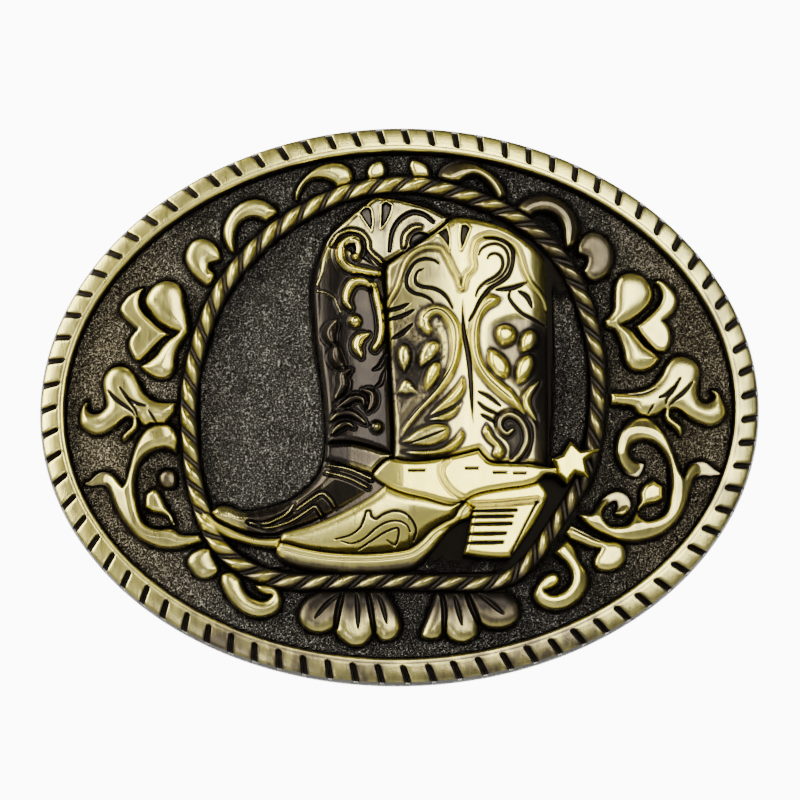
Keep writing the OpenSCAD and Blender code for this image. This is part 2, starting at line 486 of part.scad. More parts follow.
// quarter bend of round wire, in the plane of the loop, starting at the given angle
module wire_bend(r, from) {
    rotate([90, 0, 0]) rotate([0, 0, from]) rotate_extrude(angle = 90, $fn = 64)
        translate([r, 0]) circle(d = wire_d, $fn = 64);
}

// upper half: outward pivot end, small bend, leg, corner bend and half the cross bar
module half_loop() {
    translate([0, 0, leg_z + end_r]) cylinder(d = wire_d, h = end_z - leg_z - end_r, $fn = 64);
    translate([-end_r, 0, leg_z + end_r]) wire_bend(end_r, -90);
    translate([-end_r, 0, leg_z]) rotate([0, -90, 0])
        cylinder(d = wire_d, h = loop_reach - loop_r - end_r, $fn = 64);
    translate([loop_r - loop_reach, 0, leg_z - loop_r]) wire_bend(loop_r, 90);
}

module belt_loop() {
    color(steel) translate([pivot_x, pivot_y, 0]) rotate([0, 0, -loop_open]) {
        half_loop();
        mirror([0, 0, 1]) half_loop();
        translate([-loop_reach, 0, 0])
            cylinder(d = wire_d, h = 2 * (leg_z - loop_r), center = true, $fn = 64);
    }
}

// a round bar on the leaning line of the peg, from distance a to distance b
module peg_line(r, a, b) {
    translate([-peg_x, peg_back, 0]) rotate([-90, 0, 0]) rotate([0, peg_lean, 0])
        translate([0, 0, a]) cylinder(r = r, h = b - a, $fn = 96);
}

module behind() {
    intersection() {
        children();
        translate([0, bend_r, 0]) cylinder(r = back_r, h = 90, center = true, $fn = 720);
    }
}

module hook_foot() {
    color(steel) behind() difference() {
        peg_line(foot_r, -2, foot_t);
        peg_line(tenon_d / 2, -3, foot_t + 1);
    }
}

module hook_peg() {
    color(steel) {
        behind() peg_line(tenon_d / 2, -2, foot_t);
        peg_line(peg_d / 2, foot_t, peg_l - peg_d / 2);
        translate([-peg_x, peg_back, 0]) rotate([-90, 0, 0]) rotate([0, peg_lean, 0])
            translate([0, 0, peg_l - peg_d / 2]) sphere(d = peg_d, $fn = 96);
    }
}

base_plate();
rim_border();
rope_ring();
rear_boot_shaft();
rear_ankle_band();
rear_boot_foot();
rear_boot_sole();
front_boot_shaft();
front_boot_foot();
front_boot_sole();
front_boot_heel();
spur_strap();
spur_rowel();
crescent_upper_left();
crescent_lower_left();
crescent_upper_right();
crescent_lower_right();
bean_left();
bean_right();
top_bud_left();
top_bud_right();
heart_outer_left();
heart_inner_left();
heart_outer_right();
heart_inner_right();
acanthus_left();
acanthus_right();
scroll_left();
scroll_right();
scroll_ball_left();
scroll_bud_left();
scroll_bud_right();
bulb_left();
bulb_right();
volute_left();
volute_right();
fan_left();
fan_right();
loop_lug_upper();
loop_lug_lower();
belt_loop();
hook_foot();
hook_peg();
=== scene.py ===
"""Antique-brass oval belt buckle: two western boots with a spur inside a rope ring, and leaf
scrolls round them.

Plan sizes are in millimetres, x to the right and z up as seen from the front, and h is the height
above the black field. The whole plate is bent about an upright axis behind it.
"""
import math

import bpy
import numpy as np
from mathutils import Matrix, Vector


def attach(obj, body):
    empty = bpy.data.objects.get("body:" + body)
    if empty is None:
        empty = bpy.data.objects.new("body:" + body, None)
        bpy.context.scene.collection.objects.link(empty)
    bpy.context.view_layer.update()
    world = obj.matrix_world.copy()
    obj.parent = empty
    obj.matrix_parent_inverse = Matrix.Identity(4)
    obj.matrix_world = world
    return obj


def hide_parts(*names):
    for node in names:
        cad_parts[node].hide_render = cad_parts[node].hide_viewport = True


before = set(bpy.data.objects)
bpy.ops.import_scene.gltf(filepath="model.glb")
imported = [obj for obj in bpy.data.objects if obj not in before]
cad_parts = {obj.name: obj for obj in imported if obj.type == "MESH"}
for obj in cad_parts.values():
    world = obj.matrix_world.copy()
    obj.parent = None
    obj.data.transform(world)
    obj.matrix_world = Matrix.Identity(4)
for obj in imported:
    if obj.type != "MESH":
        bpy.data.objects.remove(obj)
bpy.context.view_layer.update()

MM = 0.001
BEND_R = 220.0        # radius of the bend, at the front of the field
PLATE_T = 2.2         # plate thickness
OVAL = (49.0, 38.0)   # half width and half height
RIM_W = 3.5
NOTCHES = 79
NOTCH_HALF = 0.42
NOTCH_LEN = 2.6
NOTCH_LEAN = 17.0     # degrees
NOTCH_DEPTH = 1.15
ROPE_HALF = 1.1
ROPE_H = 1.9
STRANDS = 50
REAR_H = 2.2
BOOT_H = 3.0
STRAP_H = 3.5
SINK = 0.1002         # how far a piece is set down, per mm of its height
FLOOR_H = -0.15       # where the walls of the pieces end, just under the field
VALLEY = (0.06, 0.17)  # distance and half width of the dark valley beside a raised line
PATCH_BLUR = 0.13
WIDE_BLUR = 0.45      # wear compares the height with its blur over these two distances
NEAR_BLUR = 0.22


# ------------------------------------------------------------------ curves and distances
def curve(points, closed=True, n=6):
    """Spline through [x, z] points; a third value marks a sharp corner."""
    p = [np.array(q[:2], float) for q in points]
    m = len(p)
    corner = [len(q) > 2 for q in points]
    if not closed:
        corner[0] = corner[-1] = True
    out = []
    for i in range(m if closed else m - 1):
        j = (i + 1) % m
        step = p[j] - p[i]
        size = np.hypot(*step)
        if corner[i] and corner[j]:
            out.append(p[i][None])
            continue
        go = step
        if not corner[i]:
            back = p[i] - p[i - 1]
            go = (step + back) * size / (size + np.hypot(*back))
        come = step
        if not corner[j]:
            ahead = p[(j + 1) % m] - p[j]
            come = (step + ahead) * size / (size + np.hypot(*ahead))
        t = (np.arange(n) / n)[:, None]
        out.append(p[i] * (2 * t**3 - 3 * t**2 + 1) + p[j] * (3 * t**2 - 2 * t**3)
                   + go * (t**3 - 2 * t**2 + t) + come * (t**3 - t**2))
    if not closed:
        out.append(p[-1][None])
    return np.vstack(out)


def to_line(x, z, line):
    """Distance from each point to a polyline, and how far along it the nearest place is (0 to 1)."""
    best = np.full(x.shape, 1e9)
    along = np.zeros(x.shape)
    seg = np.hypot(*np.diff(line, axis=0).T)
    start = np.concatenate([[0], np.cumsum(seg)])
    for k, length in enumerate(seg):
        if length < 1e-9:
            continue
        a = line[k]
        u = (line[k + 1] - a) / length
        t = np.clip((x - a[0]) * u[0] + (z - a[1]) * u[1], 0, length)
        r = np.hypot(x - a[0] - t * u[0], z - a[1] - t * u[1])
        near = r < best
        best[near] = r[near]
        along[near] = (start[k] + t[near]) / start[-1]
    return best, along


def inside_by(x, z, ring):
    """Signed distance to a closed outline, above zero inside."""
    closed = np.vstack([ring, ring[:1]])
    r, _ = to_line(x, z, closed)
    odd = np.zeros(x.shape, bool)
    for a, b in zip(closed[:-1], closed[1:]):
        if a[1] == b[1]:
            continue
        cross = (a[1] > z) != (b[1] > z)
        odd ^= cross & (x < a[0] + (z - a[1]) * (b[0] - a[0]) / (b[1] - a[1]))
    return np.where(odd, r, -r)


def ease(t):
    """Smooth step from 0 to 1."""
    t = np.clip(t, 0, 1)
    return t * t * (3 - 2 * t)


def blur(a, cells):
    """Gaussian blur of a height map."""
    pad = int(3 * cells) + 1
    b = np.pad(a, pad)
    fx = np.fft.fftfreq(b.shape[0])[:, None]
    fz = np.fft.rfftfreq(b.shape[1])[None]
    f = np.fft.rfft2(b) * np.exp(-2 * (math.pi * cells) ** 2 * (fx**2 + fz**2))
    return np.fft.irfft2(f, b.shape)[pad:-pad, pad:-pad]


def bent(x, z, h):
    """Place on the bent plate, in metres."""
    y = BEND_R - np.sqrt((BEND_R + h) ** 2 - x**2)
    return np.stack([x, y, z], -1) * MM


def disc(x, z, radius):
    """Outline of a round boss."""
    turn = np.arange(8) * math.pi / 4
    return [[x + radius * math.cos(a), z + radius * math.sin(a)] for a in turn]


def drop(a, b, wide):
    """Outline of a seed: pointed at a, round at b."""
    a, b = np.array(a), np.array(b)
    side = np.array([a[1] - b[1], b[0] - a[0]]) / np.hypot(*(b - a))
    profile = ((0.18, 0.62), (0.45, 0.96), (0.75, 0.92), (0.95, 0.48))
    one = [list(a + (b - a) * t + side * wide * k) for t, k in profile]
    other = [list(a + (b - a) * t - side * wide * k) for t, k in profile[::-1]]
    return [[*a]] + one + [[*b]] + other


def grain(x, z, size, seed):
    """Smooth random field of the given grain size, about -1 to 1."""
    dice = np.random.default_rng(seed)
    n = 256
    table = dice.uniform(-1, 1, (n, n))
    # the offsets keep every place above zero
    u = x / size + 911.0
    v = z / size + 977.0
    i = np.floor(u).astype(int)
    j = np.floor(v).astype(int)
    s = ease(u - i)
    t = ease(v - j)
    a = table[i % n, j % n] * (1 - s) + table[(i + 1) % n, j % n] * s
    b = table[i % n, (j + 1) % n] * (1 - s) + table[(i + 1) % n, (j + 1) % n] * s
    return a * (1 - t) + b * t


# ------------------------------------------------------------------ meshes
def add_mesh(name, verts, quads, wear_and_shade, materials):
    mesh = bpy.data.meshes.new(name)
    mesh.from_pydata(verts.tolist(), [], quads.tolist())
    mesh.validate()
    mesh.polygons.foreach_set("use_smooth", np.ones(len(mesh.polygons), bool))
    # the level holds polish and patina together with painted shade and painted highlights
    layer = mesh.attributes.new("wear_and_shade", "FLOAT", "POINT")
    layer.data.foreach_set("value", np.clip(wear_and_shade, 0, 1).astype(np.float32))
    mesh.update()
    piece = bpy.data.objects.new(name, mesh)
    bpy.context.scene.collection.objects.link(piece)
    for material in materials:
        mesh.materials.append(material)
    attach(piece, "buckle")
    return piece


def use_materials(piece, numbers):
    """Material number of each face."""
    piece.data.polygons.foreach_set("material_index", numbers.astype(np.int32))


def grid_cells(d):
    """Grid cells inside an outline, from the signed distance at the grid points.

    Gives the points in use, those of them on the border, the cells as quads, and the border
    edges with the piece on their left.
    """
    keep = (d[:-1, :-1] + d[1:, :-1] + d[:-1, 1:] + d[1:, 1:]) / 4 > 0
    count = np.zeros(d.shape, int)
    for di in (0, 1):
        for dj in (0, 1):
            count[di:d.shape[0] - 1 + di, dj:d.shape[1] - 1 + dj] += keep
    used = count > 0
    border = used & (count < 4)
    n = used.sum()
    index = -np.ones(d.shape, int)
    index[used] = np.arange(n)
    quads = np.stack([index[:-1, :-1][keep], index[1:, :-1][keep],
                      index[1:, 1:][keep], index[:-1, 1:][keep]], 1)
    pairs = np.concatenate([quads[:, [k, (k + 1) % 4]] for k in range(4)])
    code = pairs[:, 0] * n + pairs[:, 1]
    back = pairs[:, 1] * n + pairs[:, 0]
    return used, border, quads, pairs[~np.isin(code, back)]


def band_quads(nu, nv):
    """Quads of a grid of points that closes on itself in its first direction."""
    index = np.arange(nu * nv).reshape(nu, nv)
    after = np.roll(index, -1, axis=0)
    return np.stack([index[:, 1:], after[:, 1:], after[:, :-1], index[:, :-1]], -1)


class Relief:
    """Height map of one cast piece inside its outline."""

    def __init__(self, outline, top, edge, roll, less=(), step=0.12, power=2.0):
        ring = curve(outline)
        lo = ring.min(0) - 4 * step
        hi = ring.max(0) + 4 * step
        self.step = step
        self.x, self.z = np.meshgrid(np.arange(lo[0], hi[0], step),
                                     np.arange(lo[1], hi[1], step), indexing="ij")
        self.d = inside_by(self.x, self.z, ring)
        for cut in less:
            self.d = np.minimum(self.d, -inside_by(self.x, self.z, curve(cut)))
        t = np.clip(self.d / roll, 0, 1)
        self.h = edge + (top - edge) * (1 - (1 - t) ** power) ** (1 / power)
        self.edge = edge
        # patina in hollows and at the feet of raised parts, together with painted shade that some pieces
        # add
        self.patina_and_shade = np.zeros(self.h.shape)

    def window(self, pts, pad):
        """The part of the grid round some points."""
        i0, j0 = np.maximum(((pts.min(0) - pad - [self.x[0, 0], self.z[0, 0]])
                             / self.step).astype(int), 0)
        i1, j1 = np.maximum(((pts.max(0) + pad - [self.x[0, 0], self.z[0, 0]])
                             / self.step).astype(int) + 1, 1)
        return slice(i0, i1), slice(j0, j1)

    def line(self, points, half, up, taper=0.0, valley=0.0, closed=False, gild=0.25):
        """A raised (up > 0) or sunk (up < 0) line; taper 1 brings both ends to a point."""
        pts = curve(points, closed)
        if closed:
            pts = np.vstack([pts, pts[:1]])
        w = self.window(pts, 3 * half + 0.6)
        if self.x[w].size == 0:
            return
        r, t = to_line(self.x[w], self.z[w], pts)
        width = half * (1 - taper + taper * np.sqrt(np.clip(np.sin(math.pi * t), 0.02, 1)))
        u = np.clip(r / width, 0, 1)
        self.h[w] += up * (1 - u**2) ** 1.5
        if up < 0:
            self.patina_and_shade[w] += 0.85 * (1 - ease((r / width - 0.30) / 0.8))
        else:
            self.patina_and_shade[w] -= gild * (1 - u**2)
        if valley:
            v = np.exp(-(((r - width - VALLEY[0]) / VALLEY[1]) ** 2))
            self.h[w] -= 0.42 * valley * v
            self.patina_and_shade[w] += 0.45 * valley * v

    def patch(self, points, up, soft=0.22, halo=0.42, dome=0.0, sharp=False, stain=1.1, gild=0.18):
        """A raised area with soft sides, dark round its foot, or a sunk one, dark inside."""
        pts = np.array(points, float) if sharp else curve(points)
        w = self.window(pts, 1.2)
        if self.x[w].size == 0:
            return
        d = inside_by(self.x[w], self.z[w], pts)
        k = ease(d / soft)
        rise = up * k + dome * (1 - (1 - np.clip(d / 1.2, 0, 1)) ** 2)
        self.h[w] += blur(rise, PATCH_BLUR / self.step) if up > 0 else rise
        if up > 0:
            self.patina_and_shade[w] += halo * np.exp(-(((d + 0.14) / 0.22) ** 2)) - gild * k
        else:
            self.patina_and_shade[w] += stain * k

    def cuts(self, *rows):
        """Sunk lines; each row is the points, half width, depth and taper of one."""
        for points, half, depth, taper in rows:
            self.line(points, half, -depth, taper=taper)

    def crest(self, points, fall, free):
        """Height falls away on both sides of a line, beyond a flat strip of half width free."""
        r, _ = to_line(self.x, self.z, curve(points, False))
        self.h -= fall * np.maximum(r - free, 0)
        self.h = np.maximum(self.h, self.edge * 0.8)

    def cast(self, name, material, tone=0.62, shade=0.26):
        """The mesh: cells inside the outline, border moved on to it, and walls down to the field."""
        d = self.d
        used, border, quads, edge = grid_cells(d)
        gx, gz = np.gradient(d, self.step)
        size = np.maximum(np.hypot(gx, gz), 0.3)
        gx, gz = gx / size, gz / size
        move = np.where(border, np.clip(d, -self.step, self.step), 0)
        x = self.x - move * gx
        z = self.z - move * gz
        high = self.h - blur(np.where(d > 0, self.h, 0), WIDE_BLUR / self.step)
        near = self.h - blur(np.where(d > 0, self.h, self.edge), NEAR_BLUR / self.step)
        wear_and_shade = tone + 0.42 * np.clip(high, -0.6, 0.5) + 0.6 * np.clip(near, -0.5, 0.12) - self.patina_and_shade
        wear_and_shade -= shade * (1 - ease(d / 0.42))
        wear_and_shade = wear_and_shade[used]
        sink = SINK * float(np.percentile(self.h[used], 60))
        h = np.where(border, np.minimum(self.h, self.edge), self.h)[used]
        x, z = x[used], z[used] - sink
        # walls: three more rings of points under the border, each a little further out
        n = len(h)
        ring = np.unique(edge)
        place = -np.ones(n, int)
        place[ring] = np.arange(len(ring))
        ox, oz = gx[used][ring], gz[used][ring]
        verts = [bent(x, z, h)]
        walls = [quads]
        upper = edge
        for k, (out, low) in enumerate(((0.04, 0.12), (0.10, 0.45), (0.14, math.inf))):
            level = np.maximum(h[ring] - low, FLOOR_H)
            verts.append(bent(x[ring] - out * ox, z[ring] - out * oz, level))
            lower = n + k * len(ring) + place[edge]
            walls.append(np.stack([upper[:, 1], upper[:, 0], lower[:, 0], lower[:, 1]], 1))
            upper = lower
        wear_and_shade = np.concatenate([wear_and_shade, wear_and_shade[ring] * 0.6 - 0.1, wear_and_shade[ring] * 0.2 - 0.1,
                               np.zeros(len(ring))])
        piece = add_mesh(name, np.vstack(verts), np.vstack(walls), wear_and_shade, [material])
        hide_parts(name)


# ------------------------------------------------------------------ outlines, seen from the front
# borders that two neighbouring pieces share
STRAP_TOP = [[0.5, -7.9], [2.5, -8], [5.5, -7.7], [8.5, -7.1], [10.5, -6.6, 1], [11, -7.3],
    [12, -8.2], [14, -8.4], [17, -8.5]]
STRAP_FOOT = [[-0.8, -11.7], [1, -12.3], [3.5, -12.9], [5.5, -13.5], [7, -13.7]]
STRAP_HEEL = [[9.5, -12.7], [11, -12.2], [14, -11.7], [16.8, -11.3]]
WELT = [[-15, -18.7], [-13, -19.3], [-10, -19.9], [-6.5, -20.2], [-3, -20.2], [0, -19.9],
    [1.2, -19.6], [2.6, -18.6], [4, -17.2], [5.6, -16.2], [7, -15.5], [7.6, -14.4]]

ROPE_LINE = [[-28.5, 0], [-28.3, -5], [-27.7, -10], [-26.6, -14.2], [-25.2, -17.5],
    [-22.8, -20.4], [-19.3, -22.6], [-14.5, -23.8], [-8, -23.9], [-1, -24], [6, -24.3],
    [11.5, -24.4], [14.8, -23.3], [17.6, -20.8], [20.2, -17.2], [22.8, -13.3],
    [24.9, -9.6], [26.1, -5.5], [26.7, -1], [26.9, 4], [26.4, 9], [25.3, 13.5],
    [23.6, 17.6], [21.2, 21.2], [17.9, 24.3], [13.6, 26.9], [8.4, 28.9], [2.8, 30.1],
    [-2.5, 30], [-7.3, 29], [-12, 27], [-16.4, 24.3], [-20.2, 20.9], [-23.4, 17],
    [-25.8, 12.4], [-27.4, 7.5], [-28.2, 3.6]]
REAR_SHAFT = [[-9.6, 22.4], [-8, 24.3], [-5.8, 26.2], [-3.8, 27.8], [-2.5, 28.6],
    [-0.5, 28.5], [2, 27.9], [4.2, 27.2], [5.8, 26.4], [7.2, 25.6, 1], [4, 15, 1],
    [2, -4, 1], [-1, -7, 1], [-6.2, -5.4], [-9.9, -5.4, 1], [-9.9, -4], [-10.1, 0], [-10.5, 4],
    [-11, 8], [-11.3, 12], [-11.4, 16], [-10.9, 19]]
REAR_BAND = [[-9.9, -5.4, 1], [-6.2, -5.4], [-1, -7, 1], [-1.5, -8, 1], [-3.6, -9.6, 1],
    [-6.5, -8.6], [-10.1, -7.5, 1], [-10, -6.5]]
REAR_FOOT = [[-10.1, -7.5, 1], [-6.5, -8.6], [-3.6, -9.6, 1], [-2, -11.1, 1], [-3.8, -12.5, 1],
    [-7.5, -14.5, 1], [-12, -16.3, 1], [-16.1, -17.7, 1], [-17, -17.8, 1], [-19, -17.7],
    [-21, -17.2], [-23, -16.3], [-24.6, -15.4], [-25.4, -14.4], [-25, -13.7], [-24, -13.4],
    [-22.8, -13.6], [-21.5, -14.2], [-19.5, -14.2], [-17, -13.7], [-14.5, -12.8],
    [-12.3, -11.2], [-10.8, -9.4]]
REAR_SOLE = [[-26.7, -14.3, 1], [-26.4, -15.2], [-25.3, -16.2], [-23.7, -17.4],
    [-21.8, -18.2], [-19.5, -18.9], [-17.5, -19.2], [-16.2, -19.3, 1], [-16.1, -17.9, 1],
    [-17, -17.9, 1], [-19, -17.8], [-21, -17.3], [-23, -16.4], [-24.6, -15.5], [-25.7, -14.4, 1]]
FRONT_SHAFT = [[-1.5, 19.2, 1], [2, 21.3], [5.5, 23.5], [7.5, 25.1], [8.4, 25.4],
    [9.5, 25.3], [12, 24.8], [14.5, 24], [16.5, 22.8], [19, 21], [20.3, 20], [20.7, 18.6],
    [20.8, 12], [20.6, 5], [20.4, -1], [20.1, -6], [19.9, -8.9, 1], *STRAP_TOP[::-1],
    [-1.3, -7.6, 1], [-1, -6.8], [-0.9, -4], [-1, 0], [-1.2, 5], [-1.5, 10], [-1.7, 15], [-1.8, 18]]
FRONT_FOOT = [[-16.1, -17.7], [-15.6, -17.2], [-14, -16.8], [-12, -16.3], [-9.5, -15.4],
    [-7.5, -14.5], [-5.5, -13.5], [-3.8, -12.5], [-2, -11.1, 1], *STRAP_FOOT, [8.5, -13.3, 1],
    *WELT[::-1], [-16, -18.4]]
FRONT_SOLE = [[-16, -18.4, 1], *WELT, [8.5, -13.3, 1], [9.7, -14.3, 1], [9.3, -15.6, 1],
    [7.8, -16.1], [6.5, -17], [5.4, -18.2], [4.2, -19.8], [3, -21], [1.5, -22.3], [-1, -22.8],
    [-5, -22.9], [-9, -22.7], [-12.5, -22.2], [-15, -21.5], [-16.3, -20.6], [-16.7, -19.5]]
HEEL = [[8.5, -13.3, 1], *STRAP_HEEL, [18.6, -10.8, 1], [19.6, -12.4], [19.4, -13.4],
    [18, -16], [16, -18.9], [14.4, -21, 1], [12, -21], [8.3, -20.5, 1], [8.8, -18.5],
    [9.3, -16], [9.7, -14.3, 1]]
STRAP = [[-3.7, -9.7], [-3.2, -8.9], [-2.2, -8], [-1.3, -7.6], *STRAP_TOP, [19, -8.8],
    [20.9, -9.1, 1], [21, -9.9, 1], [19.3, -9.9], [18.4, -10.7], *STRAP_HEEL[::-1],
    [8.5, -13.3], *STRAP_FOOT[::-1], [-2, -11.1], [-3, -10.5]]
ROWEL = [[22.9, -5.4, 1], [24.2, -6.7, 1], [26.8, -6.4, 1], [24.8, -8, 1], [25.2, -10.3, 1],
    [23.4, -9.7, 1], [22.3, -11.1, 1], [21, -9.9, 1], [20.9, -9.1, 1], [20.4, -7.8, 1], [21.8, -7.2, 1]]
CR_UP_LEFT = [[-13.6, 28.2, 1], [-13.7, 29.2], [-13.2, 30.4], [-12, 31.8], [-10.6, 32.8],
    [-9, 33.3], [-7.4, 33.2], [-6.3, 32.5], [-5.9, 31.3], [-6.3, 30.5], [-8, 30, 1],
    [-8.6, 30.7], [-9.8, 31.2], [-11.2, 31.2], [-12.4, 30.5], [-13.1, 29.4]]
CR_LOW_LEFT = [[-22.1, 21.2, 1], [-22.8, 21.7], [-23.4, 23], [-23.6, 24.4], [-23.1, 26],
    [-22.1, 27.4], [-20.8, 28.3], [-19.3, 28.6], [-17.9, 28.3], [-16.8, 27.5],
    [-16.2, 26.6], [-17.8, 25.5, 1], [-18.8, 26], [-19.9, 26.1], [-21, 25.6],
    [-21.8, 24.6], [-22.1, 23.2]]
CR_UP_RIGHT = [[13.9, 27.9, 1], [14.9, 28.6], [14.3, 30.3], [12.8, 31.8], [11, 32.9], [9.2, 33.4],
    [7.5, 33.2], [6.2, 32.4], [5.8, 31.4], [6.4, 30.8], [7.6, 30.4], [8.7, 30.3, 1], [9.6, 31],
    [10.8, 31.3], [12.1, 30.6], [13.1, 29.4]]
CR_LOW_RIGHT = [[22.9, 21.1, 1], [24, 21.5], [24.7, 22.9], [24.7, 24.8], [23.9, 26.6], [22.4, 28],
    [20.6, 28.6], [18.8, 28.5], [17.2, 27.8], [16.4, 26.9], [17, 26.1], [18.2, 25.5, 1],
    [19, 26], [20.5, 26.1], [21.8, 25.4], [22.6, 24], [22.8, 22.4]]
BEAN_LEFT = [[-28.4, 22.3], [-27.7, 23.1], [-26.4, 23.4], [-25.1, 22.8], [-24.2, 21.6],
    [-24, 20.4], [-24.6, 20.1], [-25.5, 19.8], [-25.5, 19.1], [-24.9, 18.5], [-25, 17.6],
    [-25.8, 16.9], [-27, 17.8], [-28.2, 19.2], [-28.8, 20.8]]
BEAN_RIGHT = [[24.6, 20.4, 1], [24.5, 21.6], [25.2, 22.8], [26.5, 23.5], [27.9, 23.1],
    [29, 21.9], [29.4, 20.3], [29.1, 18.6], [28, 17.2], [26.7, 16.7], [25.8, 17], [25.2, 18, 1],
    [25.7, 19], [25.8, 19.8], [25.3, 20.2]]
BUD_TOP_LEFT = [[-3.9, 31.9], [-3.5, 32.8], [-2.8, 33.3], [-2, 33.4], [-1.5, 32.6],
    [-1.6, 31.5], [-2.4, 31, 1], [-3.6, 30.9, 1]]
BUD_TOP_RIGHT = [[1.9, 32.8], [2.2, 33.5], [3, 33.4], [4, 32.9], [4.5, 32.1], [4.5, 31.1, 1],
    [2.5, 31.1, 1], [2.1, 31.9]]
HEART_OUT_LEFT = [[-34.6, 16.9, 1], [-35.4, 16.6], [-36.5, 16], [-37.5, 14.9], [-37.8, 14],
    [-37.3, 13], [-36.5, 12.2], [-35.5, 11.2, 1], [-36.4, 10], [-36.6, 9], [-36.2, 7.8],
    [-35.7, 7], [-35.1, 6.9], [-34.2, 7.6], [-33, 8.9], [-31.9, 9.9], [-31.1, 10.3, 1],
    [-32.4, 11.2], [-33.6, 12.3], [-34.7, 13.5], [-35.2, 14.6], [-35.1, 15.8]]
HEART_IN_LEFT = [[-35, 6.1, 1], [-34, 6.6], [-32.8, 7.5], [-32, 8.6], [-31, 9.6], [-30.1, 10.2],
    [-29.7, 10.6, 1], [-31.2, 11.3], [-32.6, 12.3], [-33.6, 13.6], [-34.3, 15],
    [-33.9, 16.2], [-33, 17.2], [-31.8, 17.7], [-30.6, 17.6], [-29.7, 17], [-29.2, 15.8],
    [-29, 14.4], [-28.7, 13], [-28.5, 11.6], [-28.5, 10.5], [-28.9, 9.9], [-29.8, 8.4],
    [-30.3, 7], [-30.4, 5.6], [-30.8, 4.7], [-31.8, 4.2], [-33, 4.5], [-34.2, 5.2]]
HEART_OUT_RIGHT = [[35, 16.6, 1], [35.7, 16.9], [36.8, 16.2], [37.7, 15.1], [38, 14],
    [37.6, 12.8], [36.9, 12], [36.1, 11.3, 1], [36.7, 10.5], [37, 9.4], [36.9, 8.2],
    [36.3, 7.2], [35.6, 7], [34.8, 7.3], [33.8, 8.3], [33, 9.3], [32.3, 10.5, 1], [33.4, 11.3],
    [34.6, 12.4], [35.6, 13.6], [36, 14.8], [35.6, 16]]
HEART_IN_RIGHT = [[35.4, 6.1, 1], [34.4, 7], [33.4, 7.7], [32.4, 8.9], [31.5, 10], [30.3, 10.7, 1],
    [31.6, 11.4], [33, 12.4], [34.1, 13.6], [34.6, 14.9], [34.4, 15.9], [33.8, 17],
    [32.7, 17.7], [31.3, 17.8], [30.2, 17.3], [29.6, 16.2], [29.4, 14.4], [29.3, 12.9],
    [28.8, 12], [28, 11.2, 1], [28.1, 10.4, 1], [29.3, 9.9], [30, 8.6], [30.5, 7], [30.8, 5.4],
    [31.7, 4.5], [33, 4.4], [34.4, 5]]
ACANTHUS_LEFT = [[-30.2, 0.9, 1], [-32, 0.95], [-33.4, 1.4], [-34.6, 2.4], [-35.3, 3.8],
    [-35.9, 5], [-36.8, 5.9], [-38, 6.2], [-39.2, 5.8], [-40, 4.7], [-40.1, 3.4],
    [-39.8, 2], [-39.7, 0.8], [-40.4, 0], [-41.3, -0.2], [-42.1, 0.1], [-42.5, 0.7],
    [-42.3, 1.6, 1], [-42.9, 1], [-43.3, -0.2], [-43.2, -1.6], [-42.2, -2.6], [-41, -3],
    [-39.6, -2.7], [-38.4, -1.9], [-37.6, -1.2], [-36.8, -0.8], [-36.1, -1.2],
    [-36.2, -2.1], [-36.9, -2.8], [-37.5, -3.5], [-37.3, -4.1, 1], [-36.5, -3.4],
    [-35.8, -2.8], [-35.4, -2.2], [-35.4, -1], [-34.6, -2], [-33.6, -1.7, 1], [-31.8, -1.8, 1],
    [-31, -1.2], [-30.4, -0.4, 1]]
ACANTHUS_RIGHT = [[28.5, 1.3, 1], [31, 1.3], [33, 1.7], [34.5, 2.5], [35.6, 3.8], [36.2, 5],
    [37.2, 6.1], [38.3, 6.4], [39.6, 6.1], [40.6, 5.2], [40.8, 4], [40.5, 2.6],
    [40.4, 1.3], [40.8, 0.3], [41.5, 0], [42.4, 0.3], [42.9, 1], [42.5, 1.9, 1], [43.3, 1.5],
    [43.9, 0.3], [44.3, -1.2], [43.6, -2.4], [42.2, -3], [40.8, -2.7], [39.3, -2],
    [38, -1], [37, -0.8], [36.6, -1.2], [36.6, -1.9], [37.4, -2.6], [38.1, -3.2],
    [38.2, -3.9], [37.9, -4.5, 1], [37.2, -3.5], [36.2, -2.7], [35.8, -1.8], [35.9, -0.9],
    [34.8, -1.6], [33.7, -1.8], [32.3, -1.5], [31.5, -0.6], [30, -0.3], [28.5, -0.2, 1]]
SCROLL_LEFT = [[-33.2, -1.9], [-34.4, -2.7], [-35.4, -4.2], [-36, -6], [-36.6, -8.2],
    [-37.1, -9.8], [-37.4, -10.3, 1], [-38, -9.6], [-38.7, -8.7], [-39.6, -8.2],
    [-40.5, -8.2], [-41.3, -8.7], [-42, -9.3], [-42.9, -9.6, 1], [-41.8, -9.9],
    [-40.6, -9.8], [-39.7, -10.1], [-39.2, -11], [-38.8, -12.2], [-38.1, -13.8],
    [-37, -15.5], [-35.5, -17.2], [-33.8, -18.3], [-32, -18.9], [-30, -19], [-28.3, -18.6],
    [-26.6, -18.1, 1], [-27.1, -17.2, 1], [-28.6, -17.2], [-29.7, -17], [-30.4, -16.4],
    [-31.3, -16.2], [-32.4, -16.3], [-33.6, -16], [-34.6, -15.3], [-35.2, -14],
    [-35.6, -12.3], [-35.8, -10.5], [-35.7, -8.8], [-35.2, -7.2], [-34.2, -6.1],
    [-33, -5.5], [-31.8, -5.3], [-30.9, -5.5], [-30.1, -6, 1], [-29.9, -4.6], [-30.2, -3.2],
    [-31, -2.1], [-32, -1.85]]
